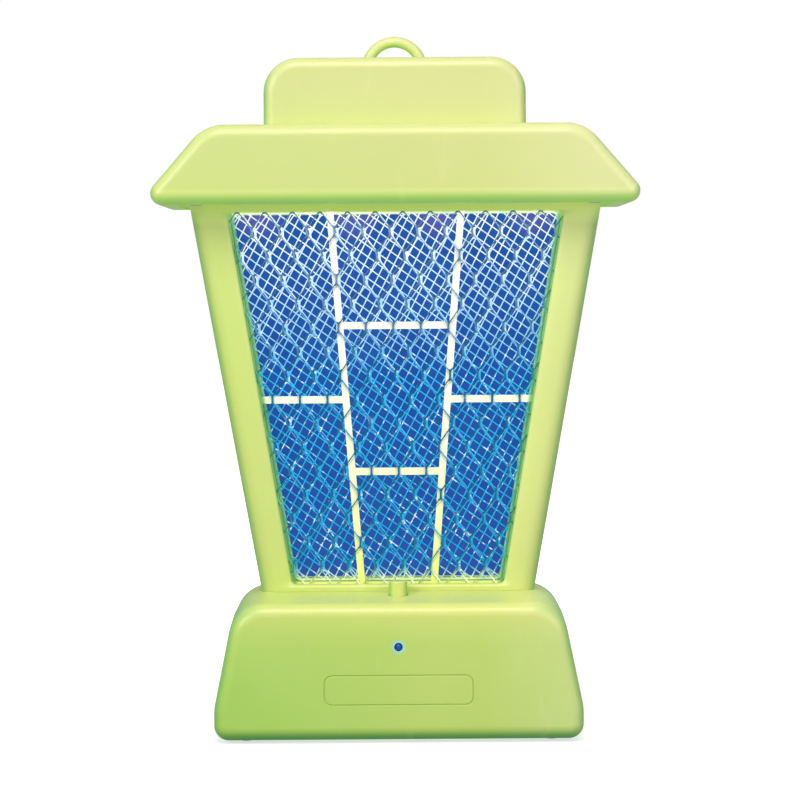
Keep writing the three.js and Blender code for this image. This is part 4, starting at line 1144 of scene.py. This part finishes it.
def battery_cell(x):
    """A C cell lying front to back, with its raised contact at the rear."""
    shoulder = CELL_LENGTH - NUB_LENGTH
    profile = [
        (CELL_RADIUS - 2.2, 0.4), (CELL_RADIUS - 1.6, 0), (CELL_RADIUS - 0.8, 0), (CELL_RADIUS - 0.2, 0.5),
        (CELL_RADIUS - 0.2, 1.2), (CELL_RADIUS, 1.4), (CELL_RADIUS, shoulder - 0.8),
        (CELL_RADIUS - 0.8, shoulder), (CELL_RADIUS - 1.8, shoulder), (CELL_RADIUS - 2.2, shoulder - 0.5),
        (NUB_RADIUS, shoulder - 0.5), (NUB_RADIUS, CELL_LENGTH - 0.4), (NUB_RADIUS - 0.4, CELL_LENGTH),
    ]
    height = PLATE_BOTTOM + PLATE_THICKNESS + GAP * 2 + CELL_RADIUS
    lying = Matrix.Translation((x, CELL_FRONT, height)) @ Matrix.Rotation(-pi / 2, 4, "X")
    return moved(turned(profile, 0, 0, 64), lying)


under_head = GAP + SCREW_HEAD_HEIGHT
SCREWS = (
    ("base_plate_screw", four_corners(*PLATE_BOSSES), PLATE_BOTTOM - under_head, 13),
    ("frame_screw", four_corners(*FOOT_SCREWS), BASE_CROWN - WALL - under_head, 11),
    ("roof_screw", four_corners(*ROOF_BOSSES), SOFFIT_BOTTOM - under_head, 14),
    ("cap_screw", CAP_BOSSES, ROOF_TOP - WALL - under_head, 14),
)
for screw_name, places, head_face, length in SCREWS:
    for number, (x, y) in enumerate(places, 1):
        kept(screw(x, y, head_face, length), f"{screw_name}_{number}", "screw_steel")
for number in range(1, 5):
    kept(battery_cell((number - 2.5) * CELL_PITCH), f"battery_cell_{number}", "cell_jacket")


# ---- The other CAD nodes ----

for node_name in ("soffit_plate", "base_plate", "battery_door", "catch_tray"):
    keep_cad_node(node_name, "lime_plastic", 0.4)
for node_name in ("uv_led_board", "main_board"):
    keep_cad_node(node_name, "circuit_board", 0.1)
for number in range(1, 5):
    keep_cad_node(f"uv_led_{number}", "uv_lens")
    keep_cad_node(f"rubber_foot_{number}", "rubber", 0.4)
keep_cad_node("push_switch", "black_plastic", 0.2)
keep_cad_node("hv_transformer", "winding", 0.3)
keep_cad_node("hv_capacitor", "capacitor_film", 0.6)


# ---- Stage, light and camera ----

FLOOR_WHITENESS = 0.62
WORLD_LIGHT = 0.38
MIDDLE = Vector((0, 0, 0.15))  # what every light faces


def stage_floor():
    """A large pale floor, which looks as white as the background and keeps a soft shadow."""
    size, height = 8, -0.0001
    corners = [(-size, -size), (size, -size), (size, size), (-size, size)]
    floor = solid([(x, y, height) for x, y in corners], [(0, 1, 2, 3)])
    floor.name = "floor"
    look = Look("floor", Roughness=0.9, Emission_Color=(1, 1, 1, 1))
    seen = look.node("LightPath").outputs["Is Camera Ray"]
    away = look.node("VectorMath", operation="LENGTH")
    look.link(look.place, away.inputs[0])
    whiteness = look.ranged(away.outputs["Value"], 0.1, 0.9, FLOOR_WHITENESS, 1.0)
    look.link(look.maths("MULTIPLY", seen, whiteness), look.shader.inputs["Emission Strength"])
    look.colour(look.mottle(3, (0.50, 0.50, 0.50), (0.53, 0.53, 0.53)))
    seen_from_above = look.node("MixShader")
    look.link(look.node("NewGeometry").outputs["Backfacing"], seen_from_above.inputs[0])
    look.link(look.shader.outputs[0], seen_from_above.inputs[1])
    look.link(look.node("BsdfTransparent").outputs[0], seen_from_above.inputs[2])
    look.link(seen_from_above.outputs[0], look.tree.nodes["Material Output"].inputs["Surface"])
    floor.data.materials.append(look.material)
    floor.visible_diffuse = floor.visible_glossy = floor.visible_shadow = False


def soft_light(name, place, size, power):
    light = bpy.data.lights.new(name, "AREA")
    light.shape = "DISK"
    light.size = size
    light.energy = power
    obj = placed(name, light)
    obj.location = place
    obj.rotation_euler = (MIDDLE - Vector(place)).to_track_quat("-Z", "Y").to_euler()
    return obj


def plain_world():
    """A white background that gives only a soft share of its light."""
    world = bpy.data.worlds.new("studio")
    world.use_nodes = True
    tree = world.node_tree
    background = tree.nodes["Background"]
    background.inputs["Color"].default_value = (1, 1, 1, 1)
    seen = tree.nodes.new("ShaderNodeLightPath").outputs["Is Camera Ray"]
    strength = tree.nodes.new("ShaderNodeMapRange")
    strength.inputs["To Min"].default_value = WORLD_LIGHT
    tree.links.new(seen, strength.inputs["Value"])
    tree.links.new(strength.outputs["Result"], background.inputs["Strength"])
    bpy.context.scene.world = world


def studio_camera():
    """A long lens almost straight in front of the object, a little above its middle and tipped down."""
    data = bpy.data.cameras.new("camera")
    data.lens = 148.4
    data.sensor_width = 36
    data.clip_end = 50
    camera = placed("camera", data)
    tipped_down, turned_right, rolled = 1.898, 0.056, 0.4
    pitch = Matrix.Rotation(radians(90 - tipped_down), 4, "X")
    yaw = Matrix.Rotation(radians(-turned_right), 4, "Z")
    roll = Matrix.Rotation(radians(-rolled), 4, "Z")
    camera.matrix_world = Matrix.Translation((0, -1.445, 0.193)) @ yaw @ pitch @ roll
    bpy.context.scene.camera = camera


stage_floor()
plain_world()
soft_light("key", (-0.80, -0.85, 0.60), 0.5, 6)
soft_light("fill", (0.85, -0.95, 0.50), 0.8, 4.4)
soft_light("top", (-0.1, -0.75, 1.15), 0.6, 8)
back = soft_light("back", (0.3, 1.0, 0.7), 0.7, 7)
back.visible_glossy = False
studio_camera()
bpy.context.scene.view_settings.view_transform = "Standard"
